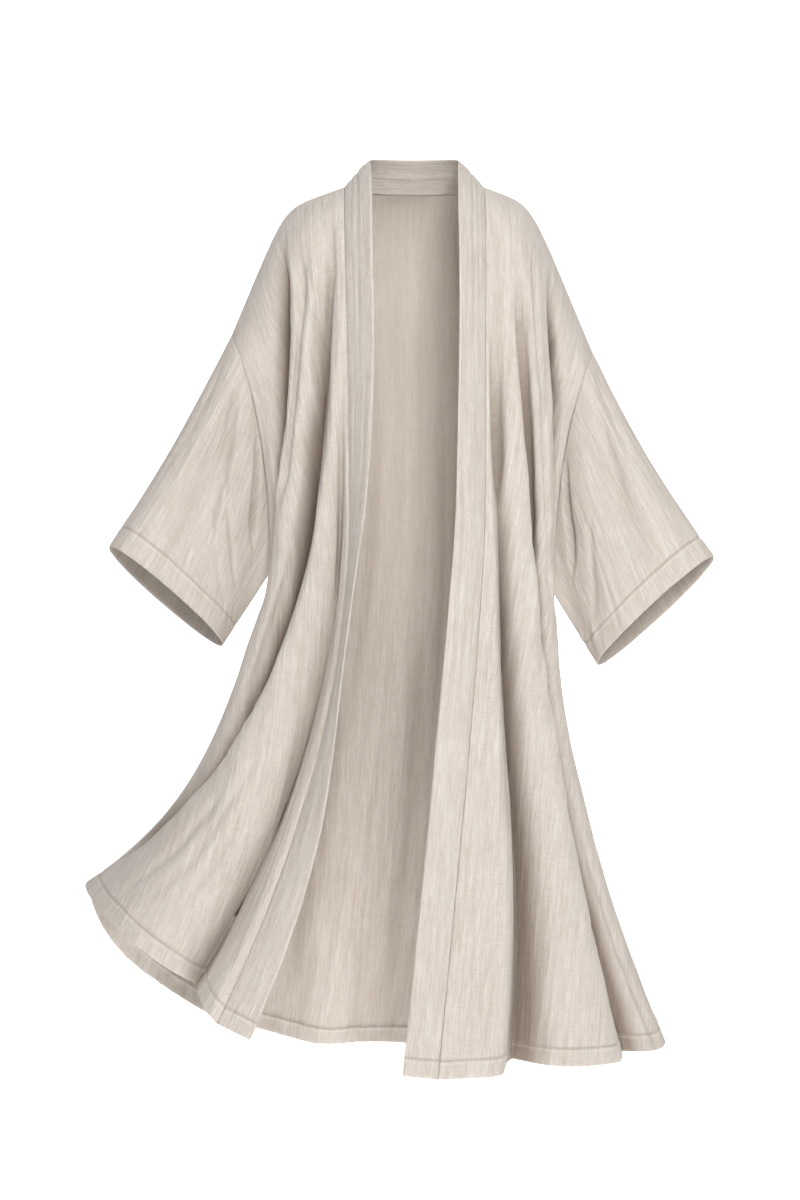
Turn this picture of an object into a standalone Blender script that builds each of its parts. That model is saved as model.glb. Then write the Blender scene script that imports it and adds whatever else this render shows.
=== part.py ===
"""Open-front kimono jacket in crinkled double gauze, hollow, filled out as it hangs when worn.

Metres, +Z up. The front faces -Y; left and right are as seen from the front, so left is -X. The origin is midway
between the two neck points of the shoulder line. A fall is a length down the cloth from the shoulder line, and a
share is a place across a panel, from 0 at its inner edge to 1 at its outer one.
"""

import math
from typing import NamedTuple

import bmesh
import bpy
import numpy as np

# Cloth
WALL = 0.0018
HEM_WALL = 0.0030
BAND_WALL = 0.0028
SEAM_GAP = 0.0003
HEM_DEPTH = 0.024
CUFF_HEM = 0.033
BAND_WIDTH = 0.050

# Shoulder line, seen from the front
NECK_OUT = 0.097
NECK_BACK = 0.072
SHOULDER_SLOPE = 0.35
ARM_SLOPE = 2.40
SHOULDER_ROUND = 0.010

# Fall of the shoulders, chest and back above the underarm
UNDERARM_FALL = 0.475
FALL_GROWTH = 1.6
SHOULDER_DROP = 0.13
CHEST_DEEP = 0.128
BACK_DEEP = 0.112
ARM_DEEP = 0.064
NOMINAL_FALL = 1.20

# Fall below the underarm
HEM_FRONT_DEEP = 0.225
HEM_BACK_DEEP = 0.205
BACK_SWING = -0.06
BACK_HEM = -1.232
FOLD_LIFT = 0.06
FOLD_SIDEWAYS = 0.30
FOLD_ROOM = 0.80
FOLD_TUCK = 1.15

# Sleeve
CUFF_HALF_DEEP = 0.050
CUFF_TILT = 0.0145
SLEEVE_SAG = 0.008

# Number of spaces in each direction
FRONT_SPACES = 18
NECK_SPACES = 10
UPPER_SPACES = 10
LOWER_SPACES = 15
SLEEVE_SPACES = 9
BAND_SPACES = 3


class Side(NamedTuple):
    """Sizes of one half. Lengths go out from the middle, levels are heights below the neck points."""

    sign: float
    shoulder_out: float
    armhole_out: float
    underarm_out: float
    cuff_top_out: float
    cuff_top_level: float
    cuff_low_out: float
    cuff_low_level: float
    edge_out: float
    edge_swing: float
    edge_bend: float
    side_drift: float
    side_swing: float
    side_bend: float
    hem_edge_level: float
    hem_side_level: float
    hem_curve: float
    back_lift_from: float


LEFT = Side(
    sign=-1.0,
    shoulder_out=0.181,
    armhole_out=0.255,
    underarm_out=0.200,
    cuff_top_out=0.427,
    cuff_top_level=-0.505,
    cuff_low_out=0.269,
    cuff_low_level=-0.641,
    edge_out=0.088,
    edge_swing=0.171,
    edge_bend=1.9,
    side_drift=0.145,
    side_swing=0.112,
    side_bend=4.6,
    hem_edge_level=-1.132,
    hem_side_level=-0.972,
    hem_curve=0.9,
    back_lift_from=0.10,
)
RIGHT = Side(
    sign=1.0,
    shoulder_out=0.163,
    armhole_out=0.250,
    underarm_out=0.195,
    cuff_top_out=0.420,
    cuff_top_level=-0.519,
    cuff_low_out=0.258,
    cuff_low_level=-0.668,
    edge_out=0.096,
    edge_swing=-0.066,
    edge_bend=1.2,
    side_drift=0.0,
    side_swing=0.156,
    side_bend=1.7,
    hem_edge_level=-1.205,
    hem_side_level=-1.195,
    hem_curve=1.0,
    back_lift_from=0.50,
)


class Fold(NamedTuple):
    """One soft trough.

    Spaces counts columns from the fold before it. The path holds (fall, share) pairs, the depths are at its
    start, middle and end, and the widths are those of its inner and outer slopes as shares.
    """

    name: str
    spaces: int
    path: tuple
    inner_width: float
    outer_width: float
    depths: tuple
    pinch: float


FOLDS_LEFT = (
    Fold(
        "edge_trough",
        4,
        ((0.28, 0.055), (0.58, 0.058), (0.72, 0.066), (0.90, 0.080), (1.20, 0.115)),
        0.04,
        0.13,
        (0.0, 0.044, 0.085),
        0.1,
    ),
    Fold(
        "main_trough",
        5,
        ((0.06, 0.12), (0.21, 0.15), (0.33, 0.23), (0.45, 0.34), (0.67, 0.46), (0.87, 0.63), (1.06, 0.89)),
        0.05,
        0.15,
        (0.0, 0.080, 0.055),
        0.0,
    ),
    Fold(
        "arm_trough",
        5,
        ((0.03, 0.56), (0.14, 0.565), (0.20, 0.59), (0.29, 0.67), (0.36, 0.79), (0.44, 0.92)),
        0.04,
        0.12,
        (0.0, 0.060, 0.045),
        0.0,
    ),
)
FOLDS_RIGHT = (
    Fold(
        "edge_trough",
        4,
        ((0.20, 0.06), (0.37, 0.09), (0.57, 0.17), (0.77, 0.24), (0.98, 0.265), (1.20, 0.22)),
        0.035,
        0.10,
        (0.0, 0.060, 0.090),
        0.0,
    ),
    Fold(
        "chest_trough",
        5,
        ((0.10, 0.30), (0.29, 0.39), (0.45, 0.51), (0.62, 0.64), (0.85, 0.67), (1.20, 0.63)),
        0.04,
        0.09,
        (0.0, 0.048, 0.050),
        0.0,
    ),
    Fold(
        "arm_trough",
        5,
        ((0.04, 0.62), (0.13, 0.68), (0.22, 0.79), (0.32, 0.87), (0.42, 0.91)),
        0.04,
        0.055,
        (0.0, 0.058, 0.036),
        0.0,
    ),
)
FOLDS_BACK = (
    Fold("left_side", 7, ((0.40, -0.74), (1.20, -0.78)), 0.090, 0.090, (0.0, 0.020, 0.022), 0.2),
    Fold(
        "left_mid",
        7,
        ((0.22, -0.40), (0.80, -0.40), (1.20, -0.42)),
        0.085,
        0.085,
        (0.0, 0.022, 0.052),
        0.2,
    ),
    Fold("centre", 7, ((0.45, -0.08), (1.20, -0.13)), 0.080, 0.080, (0.0, 0.020, 0.042), 0.2),
    Fold(
        "right_inner",
        7,
        ((0.20, 0.20), (0.70, 0.19), (1.20, 0.15)),
        0.085,
        0.085,
        (0.0, 0.024, 0.052),
        0.2,
    ),
    Fold("right_mid", 7, ((0.50, 0.46), (1.20, 0.44)), 0.085, 0.085, (0.0, 0.020, 0.048), 0.2),
    Fold("right_side", 7, ((0.35, 0.74), (1.20, 0.71)), 0.090, 0.090, (0.0, 0.022, 0.048), 0.2),
)

# Turn of the band up and forward from the front, in degrees at each fall
BAND_TURN_LEFT = (
    (0.0, 43.0),
    (0.05, 43.0),
    (0.12, 42.0),
    (0.30, 46.0),
    (0.62, 80.0),
    (0.74, 76.0),
    (0.92, 48.0),
    (1.20, 12.0),
)
BAND_TURN_RIGHT = (
    (0.0, 43.0),
    (0.05, 43.0),
    (0.12, 44.0),
    (0.24, 44.0),
    (0.40, 39.0),
    (0.60, 30.0),
    (1.20, 22.0),
)
BAND_BOW = 0.002


def eased(pairs, at):
    """Smooth curve through (place, value) pairs, level beyond its ends."""
    place = np.array([pair[0] for pair in pairs])
    value = np.array([pair[1] for pair in pairs])
    slope = np.gradient(value, place)
    slope[0] = (value[1] - value[0]) / (place[1] - place[0])
    slope[-1] = (value[-1] - value[-2]) / (place[-1] - place[-2])
    at = np.clip(at, place[0], place[-1])
    low = np.clip(np.searchsorted(place, at, side="right") - 1, 0, len(place) - 2)
    span = place[low + 1] - place[low]
    part = (at - place[low]) / span
    rise = part * part * (3.0 - 2.0 * part)
    lead = span * (part**3 - 2.0 * part**2 + part) * slope[low]
    tail = span * (part**3 - part**2) * slope[low + 1]
    return value[low] * (1.0 - rise) + value[low + 1] * rise + lead + tail


def smooth(low, high, at):
    """Soft step from 0 at low to 1 at high."""
    part = np.clip((at - low) / (high - low), 0.0, 1.0)
    return part * part * (3.0 - 2.0 * part)


def mix(first, last, share):
    return first + (last - first) * share


def unit(vectors):
    """Vectors brought to the length 1."""
    return vectors / np.maximum(np.linalg.norm(vectors, axis=-1, keepdims=True), 1e-12)


def shoulder_level(out, tip):
    """Height of the shoulder and arm line at a distance out; tip is the bend of the shoulder."""
    past_tip = SHOULDER_ROUND * np.logaddexp(0.0, (out - tip) / SHOULDER_ROUND)
    return -SHOULDER_SLOPE * np.maximum(out - NECK_OUT, 0.0) - (ARM_SLOPE - SHOULDER_SLOPE) * past_tip


def quarter(share):
    """Sine and cosine of a quarter turn, for oval sections."""
    turn = np.clip(share, 0.0, 1.0) * math.pi / 2.0
    return np.sin(turn), np.maximum(np.cos(turn), 0.0)


def rows_of_jacket():
    """Place of each row of points: 0 at the shoulder line, 1 at the underarm, 2 at the hem."""
    upper = np.linspace(0.0, 1.0, UPPER_SPACES + 1)
    hem = HEM_DEPTH / (NOMINAL_FALL - UNDERARM_FALL)
    lower = np.linspace(1.0, 2.0 - hem - 0.006, LOWER_SPACES - 1)[1:]
    return np.concatenate([upper, lower, [2.0 - hem, 2.0]])


def parts_of_place(place):
    """Share of the upper part and of the lower part at each row, as columns."""
    return np.clip(place, 0.0, 1.0)[:, None], np.clip(place - 1.0, 0.0, 1.0)[:, None]


def falls_of(place):
    """Nominal fall of each row."""
    upper, lower = parts_of_place(place)
    return (UNDERARM_FALL * upper**FALL_GROWTH + (NOMINAL_FALL - UNDERARM_FALL) * lower)[:, 0]


def shoulder_round(fall):
    return np.sqrt(1.0 - (1.0 - np.clip(fall / SHOULDER_DROP, 0.0, 1.0)) ** 2)


def armhole_out(side, upper):
    return mix(side.underarm_out, side.armhole_out, (1.0 - upper**FALL_GROWTH) ** 2)


def side_seam_out(side, lower):
    return side.underarm_out + side.side_drift * lower + side.side_swing * lower**side.side_bend


def shares_along(folds, place, last_spaces):
    """Shares of a front's columns at each row; below the shoulder the columns run along the folds."""
    falls = falls_of(place)
    knots = [np.zeros_like(falls)] + [eased(fold.path, falls) for fold in folds] + [np.ones_like(falls)]
    counts = [fold.spaces for fold in folds] + [last_spaces]
    columns = [knots[0]]
    for first, last, count in zip(knots[:-1], knots[1:], counts):
        columns += [mix(first, last, (step + 1) / count) for step in range(count)]
    guided = np.stack(columns, axis=1)
    even = np.linspace(0.0, 1.0, guided.shape[1])[None, :]
    upper, _ = parts_of_place(place)
    return mix(even, guided, smooth(0.0, 0.35, upper))


def front_form(side, place, share):
    """Smooth front panel: rows from the shoulder to the hem, columns from the band seam to the outer edge."""
    upper, lower = parts_of_place(place)
    below = place[:, None] > 1.0
    fall = UNDERARM_FALL * upper**FALL_GROWTH
    sine, cosine = quarter(share)
    wide = mix(share, sine, smooth(0.2, 1.0, upper))
    inner = np.where(
        below,
        side.edge_out + side.edge_swing * lower**side.edge_bend,
        mix(NECK_OUT, side.edge_out, smooth(0.0, 1.0, upper)),
    )
    out = mix(inner, np.where(below, side_seam_out(side, lower), armhole_out(side, upper)), wide)
    chest = mix(CHEST_DEEP, ARM_DEEP, smooth(0.25, 0.95, share))
    depth = mix(chest, CHEST_DEEP * cosine**0.7, smooth(0.25, 1.0, upper)) * shoulder_round(fall)
    low_depth = mix(CHEST_DEEP, HEM_FRONT_DEEP, lower**1.3) * cosine ** mix(0.7, 0.95, lower)
    underarm_out = mix(side.edge_out, side.underarm_out, sine)
    underarm_level = shoulder_level(underarm_out, side.shoulder_out) - UNDERARM_FALL
    hem = mix(side.hem_edge_level, side.hem_side_level, sine**side.hem_curve)
    level = np.where(below, mix(underarm_level, hem, lower), shoulder_level(out, side.shoulder_out) - fall)
    return np.stack([side.sign * out, -np.where(below, low_depth, depth), level], axis=-1)


def back_shares(place):
    """Shares of the back's columns at each row, from -1 at the left edge to 1 at the right."""
    neck_edge = NECK_SPACES / (NECK_SPACES + 2.0 * FRONT_SPACES)
    columns = NECK_SPACES + 2 * FRONT_SPACES + 1
    return np.broadcast_to(np.linspace(-1.0, 1.0, columns)[None, :], (len(place), columns)), neck_edge


def back_form(place, share, neck_edge):
    """Smooth back panel: rows from the shoulders and neck to the hem, columns from left to right."""
    upper, lower = parts_of_place(place)
    below = place[:, None] > 1.0
    fall = UNDERARM_FALL * upper**FALL_GROWTH
    size = np.abs(share)
    left = share < 0.0
    on_shoulder = np.clip((size - neck_edge) / (1.0 - neck_edge), 0.0, 1.0)
    neck_sine, neck_cosine = quarter(size / neck_edge)
    sine, cosine = quarter(size)
    top_armhole = np.where(left, LEFT.armhole_out, RIGHT.armhole_out)
    top_out = np.where(size > neck_edge, mix(NECK_OUT, top_armhole, on_shoulder), NECK_OUT * neck_sine)
    armhole = np.where(left, armhole_out(LEFT, upper), armhole_out(RIGHT, upper))
    out = armhole * mix(top_out / top_armhole, sine, smooth(0.0, 1.0, upper))
    seam = np.where(left, -side_seam_out(LEFT, lower), side_seam_out(RIGHT, lower))
    across = np.where(below, mix(BACK_SWING * lower**1.6, seam, sine), np.sign(share) * out)
    chest = mix(BACK_DEEP, ARM_DEEP, smooth(0.25, 0.95, on_shoulder))
    depth = mix(chest, BACK_DEEP * cosine**0.7, smooth(0.25, 1.0, upper))
    depth = mix(NECK_BACK * neck_cosine, depth, shoulder_round(fall))
    low_depth = mix(BACK_DEEP, HEM_BACK_DEEP, lower**1.3) * cosine ** mix(0.7, 0.95, lower)
    underarm = np.where(left, LEFT.underarm_out, RIGHT.underarm_out)
    tip = np.where(left, LEFT.shoulder_out, RIGHT.shoulder_out)
    underarm_level = shoulder_level(underarm * sine, tip) - UNDERARM_FALL
    side_level = np.where(left, LEFT.hem_side_level, RIGHT.hem_side_level)
    lift_from = np.where(left, LEFT.back_lift_from, RIGHT.back_lift_from)
    lift = np.clip((size - lift_from) / (1.0 - lift_from), 0.0, 1.0) ** 1.5
    low_level = mix(underarm_level, mix(BACK_HEM, side_level, lift), lower)
    level = np.where(below, low_level, shoulder_level(out, tip) - fall)
    return np.stack([across, np.where(below, low_depth, depth), level], axis=-1)


def normals(points, around=False):
    """Unit normals of a grid of points; around closes its columns into rings."""
    if around:
        padded = np.concatenate([points[:, -1:], points, points[:, :1]], axis=1)
        across = (padded[:, 2:] - padded[:, :-2]) / 2.0
    else:
        across = np.gradient(points, axis=1)
    along = np.gradient(points, axis=0)
    return unit(np.cross(across, along))


def soften_rows(points):
    """Evens out each column lightly from shoulder to hem."""
    even = points.copy()
    even[1:-1] = 0.25 * points[:-2] + 0.5 * points[1:-1] + 0.25 * points[2:]
    return even


def folded(points, share, falls, folds, outward, seam_width=0.05):
    """Moves the points of a panel by its folds. The panel's outer edges stay where they are."""
    facing = normals(points) * outward * np.array([FOLD_SIDEWAYS, 1.0, 0.0])
    facing = facing / np.maximum(np.linalg.norm(facing, axis=2, keepdims=True), 0.5)
    across = unit(np.gradient(points, axis=1))
    hold = smooth(0.0, seam_width, share - share[:, :1]) * smooth(0.0, seam_width, share[:, -1:] - share)
    inward = np.zeros(points.shape[:2])
    along = np.zeros(points.shape[:2])
    for fold in folds:
        start, end = fold.path[0][0], fold.path[-1][0]
        reach = np.clip((falls - start) / (end - start), 0.0, 1.0)
        depth = eased(((0.0, fold.depths[0]), (0.5, fold.depths[1]), (1.0, fold.depths[2])), reach)
        depth = depth * (1.0 - smooth(0.0, 0.10, falls - end))
        away = share - eased(fold.path, falls)[:, None]
        away = away / np.where(away < 0.0, fold.inner_width, fold.outer_width)
        bell = np.exp(-np.where(away < 0.0, away**2, np.abs(away) ** FOLD_TUCK))
        inward += depth[:, None] * bell
        along -= fold.pinch * depth[:, None] * away * bell
    room = np.maximum(FOLD_ROOM * np.abs(points[..., 1]), 1e-12)
    inward = inward / (1.0 + (inward / room) ** 4) ** 0.25
    moved = points - facing * (inward * hold)[..., None] + across * (along * hold)[..., None]
    moved[..., 2] += FOLD_LIFT * inward * hold
    return moved


def sleeve_form(side, front, back):
    """Rings of one sleeve, from the armhole edges of its panels to the cuff; each starts at the top."""
    rows = UPPER_SPACES
    armhole = np.concatenate([front[: rows + 1], back[1:rows][::-1]])
    turn = np.linspace(0.0, 2.0 * math.pi, 2 * rows, endpoint=False)
    top = np.array([side.sign * side.cuff_top_out, 0.0, side.cuff_top_level])
    low = np.array([side.sign * side.cuff_low_out, 0.012, side.cuff_low_level])
    middle = (top + low) / 2.0
    half = (top - low) / 2.0
    run = unit(middle - armhole.mean(axis=0))
    flat = np.sign(np.cos(turn)) * np.abs(np.cos(turn)) ** 0.9
    deep = np.sign(np.sin(turn)) * np.abs(np.sin(turn)) ** 0.9
    forward = np.array([0.0, -1.0, 0.0])
    cuff = (
        middle
        + flat[:, None] * half
        + CUFF_HALF_DEEP * deep[:, None] * forward
        - CUFF_TILT * deep[:, None] * run
    )
    length = np.linalg.norm(top - armhole[0])
    hem = CUFF_HEM / length
    share = np.concatenate([np.linspace(0.0, 1.0 - hem - 0.012, SLEEVE_SPACES - 1), [1.0 - hem, 1.0]])
    rings = mix(armhole[None], cuff[None], share[:, None, None])
    belly = 0.010 * np.sin(math.pi * share)[:, None] * np.sin(turn)[None, :]
    rings[..., 1] -= belly
    sag = SLEEVE_SAG * np.sin(math.pi * share)[:, None] * np.clip(np.cos(turn), 0.0, 1.0)[None, :]
    rings -= sag[..., None] * unit(half)
    fade = smooth(0.0, 0.35, share) * (1.0 - 0.6 * smooth(0.6, 1.0, share))
    groove = 0.018 * fade[:, None] * np.exp(-(((turn - 1.45) / 0.30) ** 2))[None, :]
    rings[..., 1] += groove
    back_groove = 0.012 * fade[:, None] * np.exp(-(((turn - 4.9) / 0.32) ** 2))[None, :]
    rings[..., 1] -= back_groove
    return rings


def band_directions(side, edge, falls, turns):
    """Unit directions from the band seam to the free edge down one front, square to the run of the seam."""
    run = unit(soften_rows(np.gradient(edge, axis=0)))
    inward = np.array([-side.sign, 0.0, 0.0])
    level = unit(inward - run * (run @ inward)[:, None])
    raised = np.cross(level, run) * side.sign
    angle = np.radians(eased(turns, falls))[:, None]
    return level * np.cos(angle) + raised * np.sin(angle)


def band_form(front_left, front_right, back_neck, falls):
    """Collar band: rows from the left hem round the neck to the right hem, columns from seam to free edge."""
    left = band_directions(LEFT, front_left, falls, BAND_TURN_LEFT)
    right = band_directions(RIGHT, front_right, falls, BAND_TURN_RIGHT)
    place = np.linspace(0.0, 1.0, NECK_SPACES + 1)[1:-1]
    turn = math.pi * (place - 0.5)
    inward = np.stack([-np.sin(turn), -np.cos(turn), np.zeros_like(turn)], axis=-1)
    slope = np.radians(mix(12.0, 47.0, np.sin(turn) ** 2))[:, None]
    neck = inward * np.sin(slope) + np.array([0.0, 0.0, 1.0]) * np.cos(slope)
    seam = np.concatenate([front_left[::-1], back_neck, front_right])
    toward = np.concatenate([left[::-1], neck, right])
    toward = soften_rows(soften_rows(toward))
    run = unit(np.gradient(seam, axis=0))
    toward = unit(toward - run * np.sum(toward * run, axis=1, keepdims=True))
    facing = np.cross(toward, run)
    across = np.linspace(0.0, 1.0, BAND_SPACES + 1)
    bow = 4.0 * BAND_BOW * across * (1.0 - across)
    flat = seam[:, None, :] + BAND_WIDTH * across[None, :, None] * toward[:, None, :]
    return flat + bow[None, :, None] * facing[:, None, :]


def welded_normals(grids, facings):
    """Makes pieces that share an edge share its normals too, so that their walls meet squarely."""
    found = {}
    for name, grid in grids.items():
        border = np.zeros(grid.shape[:2], bool)
        border[[0, -1]] = True
        if not name.startswith("sleeve"):
            border[:, [0, -1]] = True
        for row, column in zip(*np.nonzero(border)):
            key = tuple(np.round(grid[row, column] * 1e5).astype(int))
            found.setdefault(key, []).append((name, row, column))
    for places in found.values():
        total = sum(facings[name][row, column] for name, row, column in places)
        total = total / np.linalg.norm(total)
        for name, row, column in places:
            facings[name][row, column] = total


def trimmed(points, around):
    """Draws the edges of a grid back by half a seam gap."""
    cut = points.copy()
    for axis in (0, 1) if not around else (0,):
        edge, inner = np.swapaxes(cut, 0, axis), np.swapaxes(points, 0, axis)
        for end, next_row in ((0, 1), (-1, -2)):
            step = inner[next_row] - inner[end]
            edge[end] += step / np.linalg.norm(step, axis=-1, keepdims=True) * SEAM_GAP / 2.0
    return cut


def cloth_material(name, colour, roughness):
    material = bpy.data.materials.new(name)
    material.use_nodes = True
    shader = material.node_tree.nodes["Principled BSDF"]
    shader.inputs["Base Color"].default_value = (*colour, 1.0)
    shader.inputs["Roughness"].default_value = roughness
    shader.inputs["Metallic"].default_value = 0.0
    return material


def wall_solid(name, outer, inner, around, material):
    """Closes two matching grids of points into one thin wall."""
    rows, columns = outer.shape[:2]
    work = bmesh.new()
    shell = [[[work.verts.new(point) for point in row] for row in grid] for grid in (outer, inner)]
    spaces = columns if around else columns - 1
    for row in range(rows - 1):
        for column in range(spaces):
            after = (column + 1) % columns
            corners = ((row, column), (row, after), (row + 1, after), (row + 1, column))
            work.faces.new([shell[0][r][c] for r, c in corners])
            work.faces.new([shell[1][r][c] for r, c in reversed(corners)])
    for row in (0, rows - 1):
        for column in range(spaces):
            after = (column + 1) % columns
            outer, inner = shell[0][row], shell[1][row]
            work.faces.new([outer[column], outer[after], inner[after], inner[column]])
    if not around:
        for column in (0, columns - 1):
            for row in range(rows - 1):
                rim = (shell[0][row], shell[0][row + 1], shell[1][row + 1], shell[1][row])
                work.faces.new([line[column] for line in rim])
    bmesh.ops.recalc_face_normals(work, faces=work.faces)
    bmesh.ops.triangulate(work, faces=work.faces)
    mesh = bpy.data.meshes.new(name)
    work.to_mesh(mesh)
    work.free()
    mesh.materials.append(material)
    solid = bpy.data.objects.new(name, mesh)
    bpy.context.scene.collection.objects.link(solid)


def grids_of_jacket():
    """Outer points of every piece."""
    place = rows_of_jacket()
    falls = falls_of(place)
    fronts = []
    for side, folds, outward in ((LEFT, FOLDS_LEFT, 1.0), (RIGHT, FOLDS_RIGHT, -1.0)):
        share = shares_along(folds, place, FRONT_SPACES - sum(fold.spaces for fold in folds))
        fronts.append(folded(soften_rows(front_form(side, place, share)), share, falls, folds, outward))
    share, neck_edge = back_shares(place)
    back = folded(soften_rows(back_form(place, share, neck_edge)), share, falls, FOLDS_BACK, 1.0)
    neck = back[0, FRONT_SPACES + 1 : FRONT_SPACES + NECK_SPACES]
    return {
        "front_left": fronts[0],
        "front_right": fronts[1],
        "back": back,
        "sleeve_left": sleeve_form(LEFT, fronts[0][:, -1], back[:, 0]),
        "sleeve_right": sleeve_form(RIGHT, fronts[1][:, -1], back[:, -1]),
        "collar_band": band_form(fronts[0][:, 0], fronts[1][:, 0], neck, falls),
    }


# Sense of each grid's own normals: 1.0 where they already face out of the jacket
OUTWARD = {
    "front_left": 1.0,
    "front_right": -1.0,
    "back": 1.0,
    "sleeve_left": -1.0,
    "sleeve_right": 1.0,
    "collar_band": 1.0,
}
COLOURS = {
    "front_left": (0.66, 0.58, 0.50),
    "front_right": (0.66, 0.58, 0.50),
    "back": (0.63, 0.55, 0.47),
    "sleeve_left": (0.65, 0.57, 0.49),
    "sleeve_right": (0.65, 0.57, 0.49),
    "collar_band": (0.67, 0.59, 0.51),
}


def build():
    for item in list(bpy.data.objects):
        bpy.data.objects.remove(item, do_unlink=True)
    grids = grids_of_jacket()
    facings = {
        name: normals(grid, name.startswith("sleeve")) * OUTWARD[name] for name, grid in grids.items()
    }
    welded_normals(grids, facings)
    for name, grid in grids.items():
        around = name.startswith("sleeve")
        wall = np.full(grid.shape[:2], BAND_WALL if name == "collar_band" else WALL)
        if name != "collar_band":
            wall[-2:] = HEM_WALL
        inner = grid - facings[name] * wall[..., None]
        material = cloth_material(f"{name}_cloth", COLOURS[name], 0.9)
        wall_solid(name, trimmed(grid, around), trimmed(inner, around), around, material)


build()
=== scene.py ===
"""Looks of an open-front kimono jacket in crinkled double gauze, hollow and filled out as it hangs when worn.

Metres, +Z up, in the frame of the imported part: the front faces -Y, and left and right are as seen from the
front. A fall is a length down the cloth from the shoulder line. A share is a place across a piece, from 0 at
its first edge to 1 at its last one; on the back it runs from -1 at the left side to 1 at the right.
"""

import logging
import math
from dataclasses import dataclass
from enum import Enum

import bpy
import numpy as np
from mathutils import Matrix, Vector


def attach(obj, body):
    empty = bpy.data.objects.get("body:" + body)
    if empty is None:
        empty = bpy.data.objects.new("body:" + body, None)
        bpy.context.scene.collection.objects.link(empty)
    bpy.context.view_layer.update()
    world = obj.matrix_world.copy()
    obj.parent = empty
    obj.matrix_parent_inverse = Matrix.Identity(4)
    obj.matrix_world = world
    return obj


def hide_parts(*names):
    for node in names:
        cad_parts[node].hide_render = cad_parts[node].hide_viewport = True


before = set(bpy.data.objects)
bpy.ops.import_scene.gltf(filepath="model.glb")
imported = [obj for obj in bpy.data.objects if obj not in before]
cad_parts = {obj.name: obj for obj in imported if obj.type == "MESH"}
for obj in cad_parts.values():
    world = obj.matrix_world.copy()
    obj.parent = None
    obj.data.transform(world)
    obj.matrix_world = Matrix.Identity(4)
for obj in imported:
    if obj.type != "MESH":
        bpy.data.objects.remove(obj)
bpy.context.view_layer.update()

Array = np.ndarray
Pairs = tuple[tuple[float, float], ...]
Colour = tuple[float, float, float]

LOG = logging.getLogger("kimono_jacket")
FAR = 1.0
TINY = 1e-12
RIPPLE_CELLS = 256
RIPPLE_GAIN = 1.6
CURVE_LIFT = 0.125
FADE_IN = 0.22
FADE_OUT = 0.72
FLUTE_SPACES = 7
FLUTE_PINCH = 0.2
SEAM_SEED, HEM_SEED, WAVER_SEED = 31, 41, 51
BAND_STITCH_DEPTH = 0.0025


def eased(pairs: Pairs, at: Array) -> Array:
    """Gives a smooth curve through points, level beyond its ends.

    Args:
        pairs: The (place, value) points, with rising places.
        at: Places to read the curve at.

    Returns:
        The curve's values.
    """
    place = np.array([pair[0] for pair in pairs])
    value = np.array([pair[1] for pair in pairs])
    slope = np.gradient(value, place)
    slope[0] = (value[1] - value[0]) / (place[1] - place[0])
    slope[-1] = (value[-1] - value[-2]) / (place[-1] - place[-2])
    at = np.clip(at, place[0], place[-1])
    low = np.clip(np.searchsorted(place, at, side="right") - 1, 0, len(place) - 2)
    span = place[low + 1] - place[low]
    part = (at - place[low]) / span
    rise = part * part * (3.0 - 2.0 * part)
    lead = span * (part**3 - 2.0 * part**2 + part) * slope[low]
    tail = span * (part**3 - part**2) * slope[low + 1]
    return value[low] * (1.0 - rise) + value[low + 1] * rise + lead + tail


def smooth(low: float, high: float, at: Array) -> Array:
    """Gives a soft step from 0 at low to 1 at high."""
    part = np.clip((at - low) / (high - low), 0.0, 1.0)
    return part * part * (3.0 - 2.0 * part)


def mix(first: Array, last: Array, share: Array) -> Array:
    """Gives the value at a share of the way from first to last."""
    return first + (last - first) * share


def quarter(share: Array) -> tuple[Array, Array]:
    """Gives the sine and cosine of a share of a quarter turn, for oval sections."""
    turn = np.clip(share, 0.0, 1.0) * math.pi / 2.0
    return np.sin(turn), np.maximum(np.cos(turn), 0.0)


def refined(values: Array, parts: int) -> Array:
    """Splits every space of a list of values into equal parts."""
    count = len(values) - 1
    return np.interp(np.arange(count * parts + 1) / parts, np.arange(count + 1), values)


def unit(vectors: Array) -> Array:
    """Gives vectors the length 1."""
    return vectors / np.maximum(np.linalg.norm(vectors, axis=-1, keepdims=True), TINY)


def softened(points: Array, passes: int) -> Array:
    """Evens points out along their first axis, with the two ends held.

    Args:
        points: The points, rows first.
        passes: How often each row is mixed with its neighbours.

    Returns:
        The evened points.
    """
    even = points.copy()
    for _ in range(passes):
        even[1:-1] = 0.25 * even[:-2] + 0.5 * even[1:-1] + 0.25 * even[2:]
    return even


def ripple(across: Array, along: Array, seed: int) -> Array:
    """Gives smooth random waves, about one wave for each unit of the two coordinates.

    Args:
        across: First coordinate of each point.
        along: Second coordinate of each point.
        seed: Fixes the random draw.

    Returns:
        Heights of the waves, mostly between -1 and 1.
    """
    angle = np.random.default_rng(seed).uniform(0.0, 2.0 * math.pi, (RIPPLE_CELLS, RIPPLE_CELLS))
    column, row = np.floor(across).astype(int), np.floor(along).astype(int)
    dx, dy = across - column, along - row
    ease_x, ease_y = (d**3 * (d * (6.0 * d - 15.0) + 10.0) for d in (dx, dy))

    def corner(step_x: int, step_y: int) -> Array:
        """Gives the pull of one corner of each point's cell."""
        turn = angle[(column + step_x) % RIPPLE_CELLS, (row + step_y) % RIPPLE_CELLS]
        return np.cos(turn) * (dx - step_x) + np.sin(turn) * (dy - step_y)

    near = mix(corner(0, 0), corner(1, 0), ease_x)
    far = mix(corner(0, 1), corner(1, 1), ease_x)
    return RIPPLE_GAIN * mix(near, far, ease_y)


class Half(Enum):
    """Side of the jacket as seen from the front; the value is the sign of X."""

    LEFT = -1.0
    RIGHT = 1.0


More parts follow.
